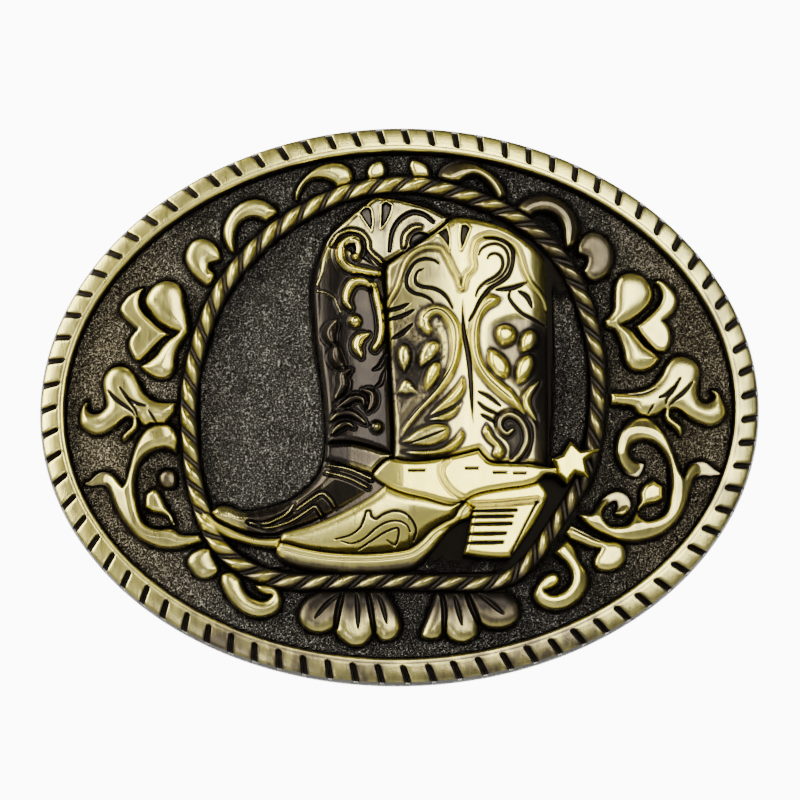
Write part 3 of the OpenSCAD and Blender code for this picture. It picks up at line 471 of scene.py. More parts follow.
SCROLL_RIGHT = [[33, -1.9], [33.9, -2.2], [35, -3.3], [35.9, -4.6], [36.6, -6.2],
    [37.1, -7.8], [37.6, -9.2], [38.2, -10.2, 1], [38.6, -9.3], [39.4, -8.3], [40.5, -7.9],
    [41.5, -8.1], [42.4, -8.8], [43.6, -9.6, 1], [42, -9.8], [40.6, -9.8], [39.7, -10.3],
    [39.2, -11.5], [38.8, -12.8], [38.2, -14.4], [37.2, -16], [35.8, -17.4], [34, -18.4],
    [32, -18.9], [30, -18.9], [28, -18.3], [26.2, -17.5], [24.8, -16.5], [23.6, -15.2, 1],
    [24.6, -15.2], [25.6, -15.2], [26.3, -14.3], [27, -13.3], [27.9, -12.5], [29.2, -12.1],
    [30.4, -12.6], [30.9, -13.7], [30.6, -14.8], [29.7, -15.4], [28.7, -15.1, 1],
    [29.2, -14.2], [28.9, -13.3], [28, -13.6], [27.3, -14.4], [27, -15.2], [27.2, -16],
    [28, -16.8], [29.2, -16.9], [30.4, -16.7], [31, -16.1], [31.3, -15.4], [31.8, -14.9],
    [32, -15.4], [33, -16.1], [34.2, -15.9], [35.3, -15.4], [35.9, -14.6], [36.2, -13],
    [36.5, -11.4], [36.5, -9.6], [36.2, -8], [35.5, -6.6], [34.4, -5.6], [33, -5.15],
    [31.7, -5.4], [30.9, -6.1], [30.8, -7], [31.3, -7.8], [32.1, -8.1], [32.9, -8.3, 1],
    [32.6, -9.2], [32, -10], [30.8, -9.8], [29.7, -8.7], [29.1, -7.2], [29.2, -5.6],
    [29.8, -4], [30.9, -2.9], [32, -2.1]]
BALL_LEFT = [[-32.4, -8.9], [-31.6, -8.3], [-30.6, -8.5], [-30.2, -9.5], [-30.4, -10.5],
    [-31.3, -10.8], [-32.2, -10.3], [-32.5, -9.6]]
BUD_LEFT = [[-34.3, -11.6], [-33.3, -10.8, 1], [-32.7, -11.1], [-32.1, -12.2],
    [-31.6, -13.3], [-30.8, -14.6], [-30.4, -15.9, 1], [-30.9, -15.3], [-31.3, -14.6],
    [-32.2, -14.2], [-33.3, -13.9], [-34.4, -13.3, 1]]
BUD_RIGHT = [[34, -10.6, 1], [35.3, -11.4, 1], [35.3, -13.1, 1], [34.3, -13.6], [33, -13.9],
    [32.3, -14.3], [31.9, -14.8, 1], [31.9, -14.2], [32.3, -13.5], [32.3, -12.3], [32.9, -11.3]]
BULB_LEFT = [[-28.7, -20.9], [-28.3, -21.8], [-27.6, -22.7], [-26.6, -23.2],
    [-25.5, -23], [-24.8, -22.5], [-24.5, -21.8], [-24.9, -21], [-25.3, -20.2],
    [-25.6, -19.2, 1], [-26.6, -19], [-27.8, -19.4], [-28.5, -20.1]]
BULB_RIGHT = [[22.7, -16.7, 1], [24.5, -17.6], [26.2, -18.5], [27.6, -18.9], [28.8, -19],
    [29.7, -19.5], [30, -20.4], [29.9, -21.4], [29.1, -22.4], [27.9, -22.9], [26.5, -22.8],
    [25.8, -22.2], [25.8, -21.3], [26.4, -20.3], [26.6, -19.9, 1], [25.4, -19.7],
    [23.9, -19.1], [22.6, -18.5], [21.9, -17.7, 1]]
VOLUTE_LEFT = [[-24, -22.6], [-24.2, -23.6], [-23.6, -25.2], [-22.6, -26.7],
    [-21.2, -27.9], [-19.6, -28.5], [-17.9, -28.4], [-16.6, -27.7], [-16.1, -26.5],
    [-16.4, -25.2], [-17.2, -24.4], [-18.4, -24.15], [-19.5, -24.2, 1], [-19.2, -24.9],
    [-18.4, -25.4], [-17.4, -25.6], [-18.2, -26.3], [-19.3, -26.2], [-20.4, -25.6],
    [-21.2, -24.5], [-21.6, -23.3, 1], [-22.7, -22.4]]
VOLUTE_RIGHT = [[20.4, -20.4, 1], [22.1, -18.7, 1], [23.1, -19.6], [23.6, -21.2], [24.5, -22.6],
    [24.9, -24], [24.7, -25.2], [23.8, -26.6], [22.4, -27.7], [20.6, -28.2], [19, -27.9],
    [17.9, -27.1], [17.5, -26.2], [17.8, -25.2], [18.5, -24.2], [19.4, -23.4],
    [20.3, -23.1], [20.9, -23.6], [20.9, -24.5], [20.1, -25.2], [19, -25.5, 1], [19.7, -26],
    [20.8, -26], [22, -25.3], [22.7, -24.1], [22.6, -22.9], [22, -21.8], [21, -20.9]]
FAN_LEFT = [[-10.9, -25.2, 1], [-12.5, -26], [-13.5, -27.2], [-13.8, -28.5], [-13.3, -29.8],
    [-12.2, -30.6], [-10.8, -30.8], [-9.6, -30.4], [-9, -30], [-8.9, -30.7], [-8.1, -31.8],
    [-6.8, -32.6], [-5.3, -32.5], [-4.3, -31.6], [-3.8, -30.6, 1], [-3.5, -31.2],
    [-2.7, -32], [-1.5, -31.9], [-0.6, -31.1], [-0.3, -29.8], [-0.9, -27.6], [-2.2, -25.3, 1]]
FAN_RIGHT = [[13.6, -25.6, 1], [14.9, -26.5], [15.5, -27.6], [15.5, -29], [14.7, -30],
    [13.2, -30.5], [11.5, -30.4], [10.2, -29.9], [10, -30.6], [9.8, -31.4], [9, -32.1],
    [7.8, -32.4], [6.4, -31.9], [5.5, -30.9, 1], [4.7, -31.8], [3.4, -31.9], [2.5, -31.5],
    [2.6, -30.6], [3.3, -29], [3.9, -27.4], [4.5, -25.6, 1]]


# ------------------------------------------------------------------ materials
def new_material(name):
    mat = bpy.data.materials.new(name)
    mat.use_nodes = True
    tree = mat.node_tree
    return mat, tree, tree.nodes["Principled BSDF"]


def places(tree, output="Object"):
    return tree.nodes.new("ShaderNodeTexCoord").outputs[output]


def attribute(tree, name):
    node = tree.nodes.new("ShaderNodeAttribute")
    node.attribute_name = name
    return node.outputs["Fac"]


def noise(tree, coords, scale, detail=3.0, stretch=None):
    node = tree.nodes.new("ShaderNodeTexNoise")
    node.inputs["Scale"].default_value = scale
    node.inputs["Detail"].default_value = detail
    if stretch:
        place = tree.nodes.new("ShaderNodeMapping")
        place.inputs["Scale"].default_value = stretch
        tree.links.new(coords, place.inputs["Vector"])
        coords = place.outputs["Vector"]
    tree.links.new(coords, node.inputs["Vector"])
    return node.outputs["Fac"]


def ramp(tree, source, *stops):
    """Colour ramp; each stop is a place and a colour or a grey level."""
    node = tree.nodes.new("ShaderNodeValToRGB")
    band = node.color_ramp
    for k, (at, tint) in enumerate((stops[0], stops[-1], *stops[1:-1])):
        stop = band.elements[k] if k < 2 else band.elements.new(at)
        stop.position = at
        stop.color = (*(tint if isinstance(tint, tuple) else (tint,) * 3), 1)
    tree.links.new(source, node.inputs["Fac"])
    return node.outputs["Color"]


def maths(tree, operation, *values):
    node = tree.nodes.new("ShaderNodeMath")
    node.operation = operation
    for slot, value in zip(node.inputs, values):
        if isinstance(value, (int, float)):
            slot.default_value = value
        else:
            tree.links.new(value, slot)
    return node.outputs[0]


def add_swing(tree, level, source, amount):
    """Adds a noise to a level, by half of amount up or down."""
    swing = maths(tree, "MULTIPLY", maths(tree, "SUBTRACT", source, 0.5), amount)
    return maths(tree, "ADD", level, swing)


def bump(tree, shader, height, strength, distance):
    node = tree.nodes.new("ShaderNodeBump")
    node.inputs["Strength"].default_value = strength
    node.inputs["Distance"].default_value = distance
    tree.links.new(height, node.inputs["Height"])
    tree.links.new(node.outputs["Normal"], shader.inputs["Normal"])


def antique(name, bright, middle, black, smooth_r, shift=0.0, dull=0.46):
    """Plated brass, bright where the wear_and_shade level is high and black where it is low; the level
    carries polish and patina, and also painted shade and painted highlights.
    """
    mat, tree, shader = new_material(name)
    coords = places(tree)
    cloud = noise(tree, coords, 420, 4)
    fine = noise(tree, coords, 5000, 2)
    brushed = noise(tree, coords, 1500, 2, (1.0, 1.0, 0.16))
    level = add_swing(tree, attribute(tree, "wear_and_shade"), cloud, 0.28)
    level = add_swing(tree, level, brushed, 0.22)
    level = maths(tree, "ADD", level, shift)
    rich = (bright[0], bright[1] * 0.985, bright[2] * 0.62)
    tint = ramp(tree, level, (0.06, black), (0.36, middle), (0.70, bright), (0.94, rich))
    tree.links.new(tint, shader.inputs["Base Color"])
    metal = ramp(tree, level, (0.02, 0.88), (0.22, 1.0))
    tree.links.new(metal, shader.inputs["Metallic"])
    rough = ramp(tree, level, (0.10, dull), (0.55, smooth_r))
    tree.links.new(add_swing(tree, rough, brushed, 0.16), shader.inputs["Roughness"])
    height = maths(tree, "ADD", fine, maths(tree, "MULTIPLY", brushed, 1.4))
    bump(tree, shader, height, 0.5, 0.00004)
    return mat


def sandy(name):
    """Black field with a cast sand grain, smooth next to the ornaments and painted dark there as shade.
    """
    mat, tree, shader = new_material(name)
    coords = places(tree)
    grit = maths(tree, "MULTIPLY", noise(tree, coords, 4600, 2.0), attribute(tree, "wear_and_shade"))
    spark = add_swing(tree, grit, noise(tree, coords, 300, 3), 0.12)
    tint = ramp(tree, spark, (0.08, (0.0030, 0.0027, 0.0024)), (0.365, (0.019, 0.018, 0.0170)),
                (0.48, (0.056, 0.054, 0.050)), (0.555, (0.155, 0.151, 0.144)),
                (0.640, (0.52, 0.515, 0.485)))
    # warmer towards the two ends: ten times the distance from the middle, in metres
    place = tree.nodes.new("ShaderNodeSeparateXYZ")
    tree.links.new(coords, place.inputs[0])
    across = maths(tree, "MULTIPLY", maths(tree, "ABSOLUTE", place.outputs["X"]), 10.0)
    warm = ramp(tree, across, (0.22, (0.80, 0.795, 0.765)), (0.38, (1.0, 0.90, 0.68)))
    mixed = tree.nodes.new("ShaderNodeVectorMath")
    mixed.operation = "MULTIPLY"
    tree.links.new(tint, mixed.inputs[0])
    tree.links.new(warm, mixed.inputs[1])
    tree.links.new(mixed.outputs["Vector"], shader.inputs["Base Color"])
    shader.inputs["Metallic"].default_value = 1.0
    shader.inputs["Roughness"].default_value = 0.36
    bump(tree, shader, grit, 1.0, 0.00055)
    return mat


def plain_metal(name, tint, rough, grain_scale, mottled, stretch=None):
    """Plated or drawn metal with fine marks and slight stains."""
    mat, tree, shader = new_material(name)
    coords = places(tree)
    fine = noise(tree, coords, grain_scale, 3, stretch)
    cloud = noise(tree, coords, 160, 4)
    dark = tuple(c * (1 - mottled) for c in tint)
    tree.links.new(ramp(tree, cloud, (0.32, dark), (0.68, tint)), shader.inputs["Base Color"])
    shader.inputs["Metallic"].default_value = 1.0
    mark = maths(tree, "MULTIPLY_ADD", fine, 0.22, rough - 0.11)
    tree.links.new(mark, shader.inputs["Roughness"])
    bump(tree, shader, fine, 0.25, 0.00004)
    return mat


GOLD = antique("brass_antique", bright=(0.735, 0.665, 0.200), middle=(0.140, 0.118, 0.072),
               black=(0.018, 0.015, 0.012), smooth_r=0.30)
DARK = antique("brass_blackened", bright=(0.72, 0.645, 0.23), middle=(0.055, 0.046, 0.034),
               black=(0.020, 0.017, 0.015), smooth_r=0.20, shift=-0.10, dull=0.28)
FIELD = sandy("field_sand_black")
BACK = plain_metal("plate_back_nickel", (0.60, 0.59, 0.56), 0.36, 2200, 0.18)
EDGE = plain_metal("plate_edge_dull", (0.30, 0.295, 0.28), 0.50, 2200, 0.30)
FITTING = plain_metal("fitting_nickel", (0.63, 0.62, 0.59), 0.30, 2600, 0.15)
WIRE = plain_metal("loop_wire_steel", (0.62, 0.62, 0.61), 0.24, 1800, 0.12, (0.3, 0.3, 1.0))


# ------------------------------------------------------------------ rope outline and boot outlines
def shifted(line, d):
    """Closed line moved sideways by d."""
    before = np.roll(line, 1, axis=0)
    after = np.roll(line, -1, axis=0)
    c = after - before
    c /= np.hypot(c[:, 0], c[:, 1])[:, None]
    return line + d * np.stack([c[:, 1], -c[:, 0]], 1)


ROPE = curve(ROPE_LINE)
ROPE_OUT = shifted(ROPE, ROPE_HALF)
ROPE_IN = shifted(ROPE, -ROPE_HALF)
FRONT = [FRONT_SHAFT, STRAP, FRONT_FOOT, FRONT_SOLE, HEEL, ROWEL]
REAR = [REAR_SHAFT, REAR_BAND, REAR_FOOT, REAR_SOLE]


def under_rope(x, z):
    """Signed distance to the band under the rope, above zero inside."""
    return np.minimum(inside_by(x, z, ROPE_OUT), -inside_by(x, z, ROPE_IN))


# pockets of the field between the boots, the rope and the ornaments, painted black as shade
SHADED_POCKETS = [[[2.3, -19.4], [4.6, -17.2], [9.4, -13.8], [9.2, -20.6], [6, -20.9]],
        [[17.6, -11], [22.6, -10.6], [22.4, -15], [17.4, -21.2], [14.4, -22], [15.6, -16]],
        [[14.8, 25.2], [18.6, 22.8], [20.6, 18], [20.9, 16.8], [22.6, 16.6], [22.6, 19], [19, 24]]]


# ------------------------------------------------------------------ rope ring
def rope_ring():
    line = np.vstack([ROPE, ROPE[:1]])
    seg = np.hypot(*np.diff(line, axis=0).T)
    s = np.concatenate([[0], np.cumsum(seg)])
    nu, nv = 1600, 19
    along = np.arange(nu) * s[-1] / nu
    mid = np.stack([np.interp(along, s, line[:, 0]), np.interp(along, s, line[:, 1])], 1)
    tang = np.roll(mid, -2, axis=0) - np.roll(mid, 2, axis=0)
    tang /= np.hypot(tang[:, 0], tang[:, 1])[:, None]
    slant = 0.34          # of a strand, from the middle of the rope to its side
    groove_half = 0.17
    groove_off = 0.24     # how far the groove lies from where two strands meet
    set_down = 0.2
    # v runs from the inner side (-1) to the outer side (1), and the strands slant across it
    v = np.sin(np.linspace(-math.pi / 2, math.pi / 2, nv))[None]
    pitch = s[-1] / STRANDS
    turn = along[:, None] / pitch + slant * v
    from_top = np.abs(turn - np.floor(turn) - 0.5) * pitch
    from_joint = pitch / 2 - from_top
    arch = np.sqrt(np.clip(1 - v**2, 0, 1))
    bulge = 0.30 * np.cos(math.pi * np.clip(from_top / (pitch / 2), 0, 1))
    groove = np.exp(-((from_joint - groove_off) / groove_half) ** 2)
    h = 0.45 + (ROPE_H - 0.60) * arch**0.75 + 1.4 * bulge * arch - 0.5 * groove * arch
    wide = ROPE_HALF * (1 - 0.05 * np.exp(-(from_joint / 0.3) ** 2))
    x = mid[:, :1] + v * wide * tang[:, 1:]
    z = mid[:, 1:] - v * wide * tang[:, :1] - set_down
    wear_and_shade = 0.04 + 0.62 * arch - 0.9 * groove + 0.5 * bulge
    # painted shade: darker on the right side, away from the key light, at the foot and at the upper
    # right, and a painted shadow under the rowel
    wear_and_shade -= 0.24 * ease((x - 14) / 8) + 0.22 * ease((-19 - z) / 4)
    wear_and_shade -= 0.18 * ease((x - 1) / 7) * ease((z - 14) / 6)
    wear_and_shade -= 0.5 * np.exp(-((x - 23.4) ** 2 + (z + 8.4) ** 2) / 12)
    h[:, 0] = h[:, -1] = -0.1
    wear_and_shade[:, 0] = wear_and_shade[:, -1] = 0
    hidden = np.full(x.shape, -1e9)
    for outline in FRONT + REAR:
        hidden = np.maximum(hidden, inside_by(x, z + 0.3, curve(outline)))
    keep = np.maximum(hidden, np.roll(hidden, -1, axis=0))[:, :-1] < 0.5
    quads = band_quads(nu, nv)[keep]
    used = np.unique(quads)
    place = -np.ones(nu * nv, int)
    place[used] = np.arange(len(used))
    verts = bent(x, z, h).reshape(-1, 3)
    piece = add_mesh("rope_ring", verts[used], place[quads], wear_and_shade.reshape(-1)[used], [GOLD])
    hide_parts("rope_ring")


# ------------------------------------------------------------------ rim with slanted notches
def rim_border():
    turn = np.linspace(0, 2 * math.pi, 7201)
    length = np.concatenate([[0], np.cumsum(np.hypot(np.diff(OVAL[0] * np.cos(turn)),
                                                     np.diff(OVAL[1] * np.sin(turn))))])
    total = length[-1]
    pitch = total / NOTCHES
    # places along the rim, from the middle of one notch to the next, closer together at a notch
    half_steps = [0.07, 0.18, NOTCH_HALF, 0.45, 0.53]
    apart = np.array([-a for a in half_steps[::-1]] + [0.0] + half_steps
                     + list(np.linspace(0.53, pitch - 0.53, 10)[1:-1]))
    s = (np.arange(NOTCHES)[:, None] * pitch + 0.45 * pitch + apart[None]).ravel()
    after = apart > pitch / 2
    from_mid = np.abs(np.tile(np.where(after, apart - pitch, apart), NOTCHES))[:, None]
    notch = np.repeat(np.arange(NOTCHES), len(apart)) + np.tile(after, NOTCHES)
    # places across it, from the outer edge inwards
    e = np.array([0.0, 0.06, 0.16, 0.3, 0.38, 0.7, 1.0, 1.3, 1.6, 1.9, 2.2, 2.34, 2.46, 2.56, 2.62,
                  2.68, 2.76, 2.86, 3.0, 3.14, 3.26, 3.36, 3.44, 3.5, 3.52])
    lean = math.tan(math.radians(NOTCH_LEAN))
    t = np.interp((s[:, None] - e[None] * lean) % total, length, turn)
    nx, nz = np.cos(t) / OVAL[0], np.sin(t) / OVAL[1]
    size = np.hypot(nx, nz)
    x = OVAL[0] * np.cos(t) - e[None] * nx / size
    z = OVAL[1] * np.sin(t) - e[None] * nz / size
    dice = np.random.default_rng(3)
    reach = NOTCH_LEN + dice.uniform(-0.08, 0.08, NOTCHES + 1)
    reach = reach[notch % NOTCHES][:, None]
    # convex face that falls to the outside, with a low lip along the inside
    face = np.interp(e, [0, 0.06, 0.16, 0.3, 0.38, 1.0, 1.6, 2.4, 2.7, 2.86, 3.1, 3.3, 3.44, 3.5, 3.52],
                     [0.25, 0.46, 0.80, 1.28, 1.42, 1.61, 1.72, 1.79, 1.78, 1.72, 1.76, 1.66, 1.40,
                      1.0, -0.1])[None]
    # each notch has a round inner end, a small ridge along its floor and soft upper edges
    past = np.clip(e[None] - (reach - NOTCH_HALF), 0, None) / NOTCH_HALF
    half = NOTCH_HALF * np.sqrt(np.clip(1 - past**2, 0, 1))
    inside = (from_mid <= half + 1e-6) & (e[None] < reach)
    depth = np.where(inside, NOTCH_DEPTH - 0.14 * np.exp(-((from_mid / 0.07) ** 2)), 0)
    depth[:, e > 3.0] = 0
    h = np.maximum(face - depth, np.minimum(face, 0.35))
    beside = (e[None] < reach + 0.1) & ~inside
    near = np.where(beside, 1 - np.clip((from_mid - half) / 0.16, 0, 1), 0)
    h -= 0.10 * near
    # notches black with patina, with a faint painted highlight along the ridge of each floor
    wear_and_shade = np.where(inside, -0.35 + 0.45 * np.exp(-((from_mid / 0.06) ** 2)), 0.74)
    wear_and_shade -= 0.30 * near
    wear_and_shade += np.interp(e, [0, 0.2, 0.6, 2.6, 2.84, 3.1, 3.4, 3.5],
                      [0, 0.02, 0.0, 0.0, -0.16, 0.12, -0.1, -0.7])
    wear_and_shade += 0.10 * grain(x, z, 1.7, 12)
    # painted shade: the rim darker along the bottom and at the right, away from the light
    wear_and_shade -= 0.30 * ease((-22 - z) / 10) + 0.16 * ease((x - 30) / 12)
    # plain outer wall of the rim, down to the plate
    x = np.concatenate([np.repeat(x[:, :1], 2, 1), x], 1)
    z = np.concatenate([np.repeat(z[:, :1], 2, 1), z], 1)
    h = np.concatenate([np.tile([0.0, 0.12], (len(s), 1)), h], 1)
    wear_and_shade = np.concatenate([np.full((len(s), 2), 0.10), wear_and_shade], 1)
    nu, nv = x.shape
    quads = band_quads(nu, nv).reshape(-1, 4)
    piece = add_mesh("rim_border", bent(x, z, h).reshape(-1, 3), quads, wear_and_shade.ravel(), [GOLD, EDGE])
    wall_bands = 5        # bands of faces from the plate up the steep outer side
    use_materials(piece, np.tile(np.arange(nv - 1) < wall_bands, nu))
    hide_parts("rim_border")


# ------------------------------------------------------------------ base plate with its grained field
def base_plate(gap_to):
    """gap_to gives the distance from places on the field to the nearest ornament."""
    step = 0.375
    turn = np.arange(260) * 2 * math.pi / 260
    gx, gz = np.meshgrid(np.arange(-OVAL[0] - 1, OVAL[0] + 1, step),
                         np.arange(-OVAL[1] - 1, OVAL[1] + 1, step), indexing="ij")
    d = inside_by(gx, gz, np.stack([OVAL[0] * np.cos(turn), OVAL[1] * np.sin(turn)], 1))
    used, border, cells, edge = grid_cells(d)
    ax, az = np.gradient(d, step)
    x = np.where(border, gx - d * ax, gx)
    z = np.where(border, gz - d * az, gz)
    # painted shade: the field darker next to the ornaments and at the foot of the rim, where its sand
    # grain is also smoothed
    sand_and_shade = ease((gap_to(x, z) - 0.02) / 0.6) * ease((d - RIM_W + 0.08) / 0.45)
    for pocket in SHADED_POCKETS:
        far = -inside_by(x, z, curve(pocket))
        sand_and_shade *= ease((far + 0.9 * grain(x, z, 1.1, 9)) / 2.6)
    h = sand_and_shade * (0.07 * grain(x, z, 0.42, 5) + 0.05 * grain(x, z, 0.9, 6))
    h = np.where(border, 0, h)
    # the sand is a little brighter at the two ends
    sand_and_shade = sand_and_shade * (0.922 + 0.078 * ease((np.abs(x) - 26) / 8))
    m = used.sum()
    front = bent(x[used], z[used], h[used])
    behind = bent(x[used], z[used], np.full(m, -PLATE_T))
    side = np.stack([edge[:, 1], edge[:, 0], edge[:, 0] + m, edge[:, 1] + m], 1)
    quads = np.vstack([cells, side, cells[:, ::-1] + m])
    wear_and_shade = np.concatenate([sand_and_shade[used], np.zeros(m)])
    piece = add_mesh("base_plate", np.vstack([front, behind]), quads, wear_and_shade, [FIELD, BACK, EDGE])
    use_materials(piece, np.repeat([0, 2, 1], [len(cells), len(side), len(cells)]))
    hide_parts("base_plate")


# ------------------------------------------------------------------ front boot
def front_shaft():
    r = Relief(FRONT_SHAFT, BOOT_H, 1.7, 1.0, less=[STRAP], step=0.1)
    # broad round shaft: falls to the left of x 9 and rolls off at the right
    r.h -= 0.05 * np.maximum(8.5 - r.x, 0) + 0.010 * np.maximum(8.5 - r.x, 0) ** 2
    r.h -= 0.012 * np.maximum(r.x - 10, 0) ** 2 + 0.24 * np.maximum(r.x - 17.6, 0) ** 2
    r.h -= 0.03 * np.maximum(r.z - 22.0, 0) ** 2
    # painted shade on the left flank and at the right edge, where the round shaft turns away from the
    # light, and darker at the lower left
    r.patina_and_shade += 0.20 * ease((8.0 - r.x) / 3.5) + 0.10 * ease((r.x - 18.4) / 1.5)
    r.patina_and_shade += 0.08 * ease((4.5 - r.x) / 2) * ease((13.5 - r.z) / 2)
    # sunk, slightly stained ground behind the seeds on both sides
    for ground in ([[-1.2, 8], [0.5, 10.6], [2.6, 8.6], [5.4, 9.6], [6, 6], [3.6, 2.4], [0, -1.8],
                    [-1, 2]],
                   [[12, 10.6], [14.6, 12], [17.6, 12.2], [20, 10.4], [20.2, 0], [18.6, -4], [15.6, 1.4],
                    [12.4, 4.4], [11.4, 7.6]]):
        r.patch(ground, -0.28, soft=1.3, stain=0.27)
    # pitted ground behind the left tooling
    pits = np.clip(grain(r.x, r.z, 0.32, 21) - 0.1, 0, 1)
    zone = ease((7.4 - r.x) / 1.5) * ease((13.6 - r.z) / 1.0) * ease((r.z + 1) / 2)
    r.h -= 0.06 * pits * zone
    r.patina_and_shade += 0.24 * pits * zone

    # the two wedges at the top and the scalloped yoke
    for wedge in ([[5.3, 23.2, 1], [6.8, 24, 1], [7.15, 22.6], [7.1, 20.7, 1], [6.4, 21.9]],
                  [[8.7, 24.2, 1], [9.4, 24.25, 1], [10, 23.7, 1], [9.2, 21.6], [8.7, 20.6, 1],
                   [8.5, 22.4]]):
        r.patch(wedge, -0.6, soft=0.3)
        r.line(wedge, 0.24, 0.22, closed=True)
    yoke_left = [[-1.7, 13.4], [-0.3, 15.5], [0.3, 17], [1, 19], [2, 20.3], [3.5, 21.1], [4.6, 21.2],
                 [5.9, 20.9], [6.6, 19.8], [7.4, 18], [8, 16.8], [8.4, 15.4]]
    yoke_right = [[8.8, 15.5], [9.2, 17], [10.2, 18.3], [10.1, 20], [10.6, 21.8], [11.8, 22.6],
                  [13.2, 22.7], [14.6, 22.1], [16, 21.3], [16.6, 20], [17.2, 18], [18, 16.3],
                  [19.2, 15.1], [20, 13.9], [20.3, 13]]
    r.line(yoke_left, 0.40, 0.40, valley=0.35)
    r.line(yoke_right, 0.40, 0.40, valley=0.35)

    # curling grooves inside the yoke
    r.cuts(([[5.6, 18.9], [4.9, 19.4], [3.6, 19.6], [2.4, 19.1], [1.6, 18], [1.2, 16.8], [1.4, 15.7],
             [2.2, 15], [3.4, 14.6], [4.4, 14], [4.8, 13.5]], 0.34, 0.5, 0.7),
           ([[3.5, 18.2], [2.8, 17.9], [2.4, 17], [2.6, 16.2], [3.4, 15.8], [4.8, 15.5], [5.8, 15],
             [6.6, 14.2], [7.1, 13.3], [7.4, 12.7]], 0.32, 0.5, 0.7),
           ([[11.8, 22.4], [13.5, 22.3], [14.8, 21.8], [15.6, 20.6], [15.6, 19], [15, 17.3], [14, 16.4],
             [12.6, 15.5], [11.6, 14.4], [11, 13.5], [10.4, 12.3], [9.6, 11]], 0.40, 0.55, 0.6),
           ([[11, 20], [11.4, 20.8], [12.4, 21.4], [13.6, 21.5], [14.5, 21], [15, 20], [15, 18.8],
             [14.3, 17.4], [13.2, 16.5], [12, 15.9]], 0.26, 0.42, 0.7),
           ([[12.2, 19.5], [12.5, 20], [13.3, 20.2], [14, 19.8], [14.3, 18.8], [13.9, 17.7], [13, 16.9],
             [11.8, 16.2], [10.9, 15.3], [10.5, 14.3]], 0.28, 0.45, 0.7),
           ([[15.2, 15.1], [15, 14.2], [15.6, 13.2], [16.8, 12], [18.5, 11.2], [19.9, 10.6]],
            0.3, 0.45, 0.6))
    for slit in ([[13.2, 15.2], [15.4, 15.5], [17.4, 16.3]], [[16.3, 15.1], [17.5, 14.3], [18.1, 12.9]],
                 [[-1.6, 12.8], [0.1, 13], [1.6, 13.6]], [[-1.4, 11.5], [0.6, 11.9], [2.3, 12.7]],
                 [[-1, 8.8], [0.6, 9.6], [2, 10.8]]):
        r.line(slit, 0.42, -0.5, taper=0.9)

    # the two S-stems with their centre lines
    stem = dict(soft=0.5, halo=0.30, dome=0.35, gild=0.30)
    left_out = [[4.4, 10.8], [4.8, 9.7], [4, 9], [3, 9.5], [2.5, 10.8], [3, 12.3], [4.5, 13.2],
                [6, 13.1], [7.4, 12], [8.4, 10.3], [8.6, 8], [8.2, 5.5], [7.3, 3.4], [5.5, 1], [3.5, -1],
                [1.5, -3.2], [0.1, -5, 1]]
    left_in = [[0.2, -3.6, 1], [2, -1.2], [4, 0.8], [5.7, 3], [6.6, 5], [6.9, 7], [6.7, 9.3],
               [6.2, 10.8], [5.2, 11.7]]
    r.patch(left_out + left_in, 0.55, **stem)
    right_out = [[14, 14, 1], [12.5, 14.6], [11.3, 13.9], [10.2, 12], [9.5, 9.8], [9.5, 7.5], [9.8, 5.5],
                 [10.6, 3.6], [12, 1.8], [13.5, 0.4], [14.8, -0.6], [16.9, -2.4, 1]]
    right_in = [[16.9, -1.5, 1], [15.6, 1.1], [14.2, 2.4], [12.8, 3.6], [11.6, 5], [11, 7], [10.9, 9],
                [11.2, 11], [12.2, 12.4], [13.5, 13.2]]
    r.patch(right_out + right_in, 0.55, **stem)
    r.cuts(([[3.6, 10.3], [3.4, 11.4], [4.4, 12.4], [5.8, 12.4], [7, 11.2], [7.7, 9.4], [7.6, 6.8],
             [6.9, 4.4], [5.4, 2.2], [3.4, 0], [1.2, -2.4]], 0.17, 0.3, 0.6),
           ([[12.6, 13.6], [11.4, 12.6], [10.5, 10.6], [10.2, 8], [10.6, 5.4], [11.8, 3.2], [13.4, 1.6],
             [15, 0.2]], 0.15, 0.28, 0.6))

    # black seam between the stems, widest at its foot
    r.patch([[8.7, 14.8, 1], [8.5, 10], [9.1, 5], [9.45, 0], [9.8, -3.4, 1], [10.0, 0], [9.9, 5],
             [9.1, 10]], -0.55, soft=0.2)

    # seeds: point, round end and half width
    for a, b, wide in (((0.7, 4.0), (0.7, 8.2), 1.218), ((2.7, 4.6), (5.1, 8.4), 1.334),
                       ((3.5, 1.4), (5.2, 5.6), 1.16), ((16.5, 6.5), (18.5, 9.8), 1.392),
                       ((12.2, 7.2), (14.5, 3.1), 1.392), ((15.8, 2.2), (17.9, 6.5), 1.334),
                       ((13.9, 7.3), (14.9, 10.5), 1.624)):
        r.patch(drop(a, b, wide), 0.45, soft=0.7, halo=0.20, dome=0.8, gild=0.46)
    r.patch([[-0.4, 1.3, 1], [0.1, 2.8], [1, 3.4], [2.0, 2.6], [2.5, 1.2, 1], [1, 1]], 0.4, soft=0.5,
            dome=0.5, halo=0.2, gild=0.46)
    r.line([[18.8, 2.8], [17.3, 0.9], [17.2, -0.5], [18.3, -2.5]], 0.70, 0.45, taper=0.8, valley=0.4,
           gild=0.5)

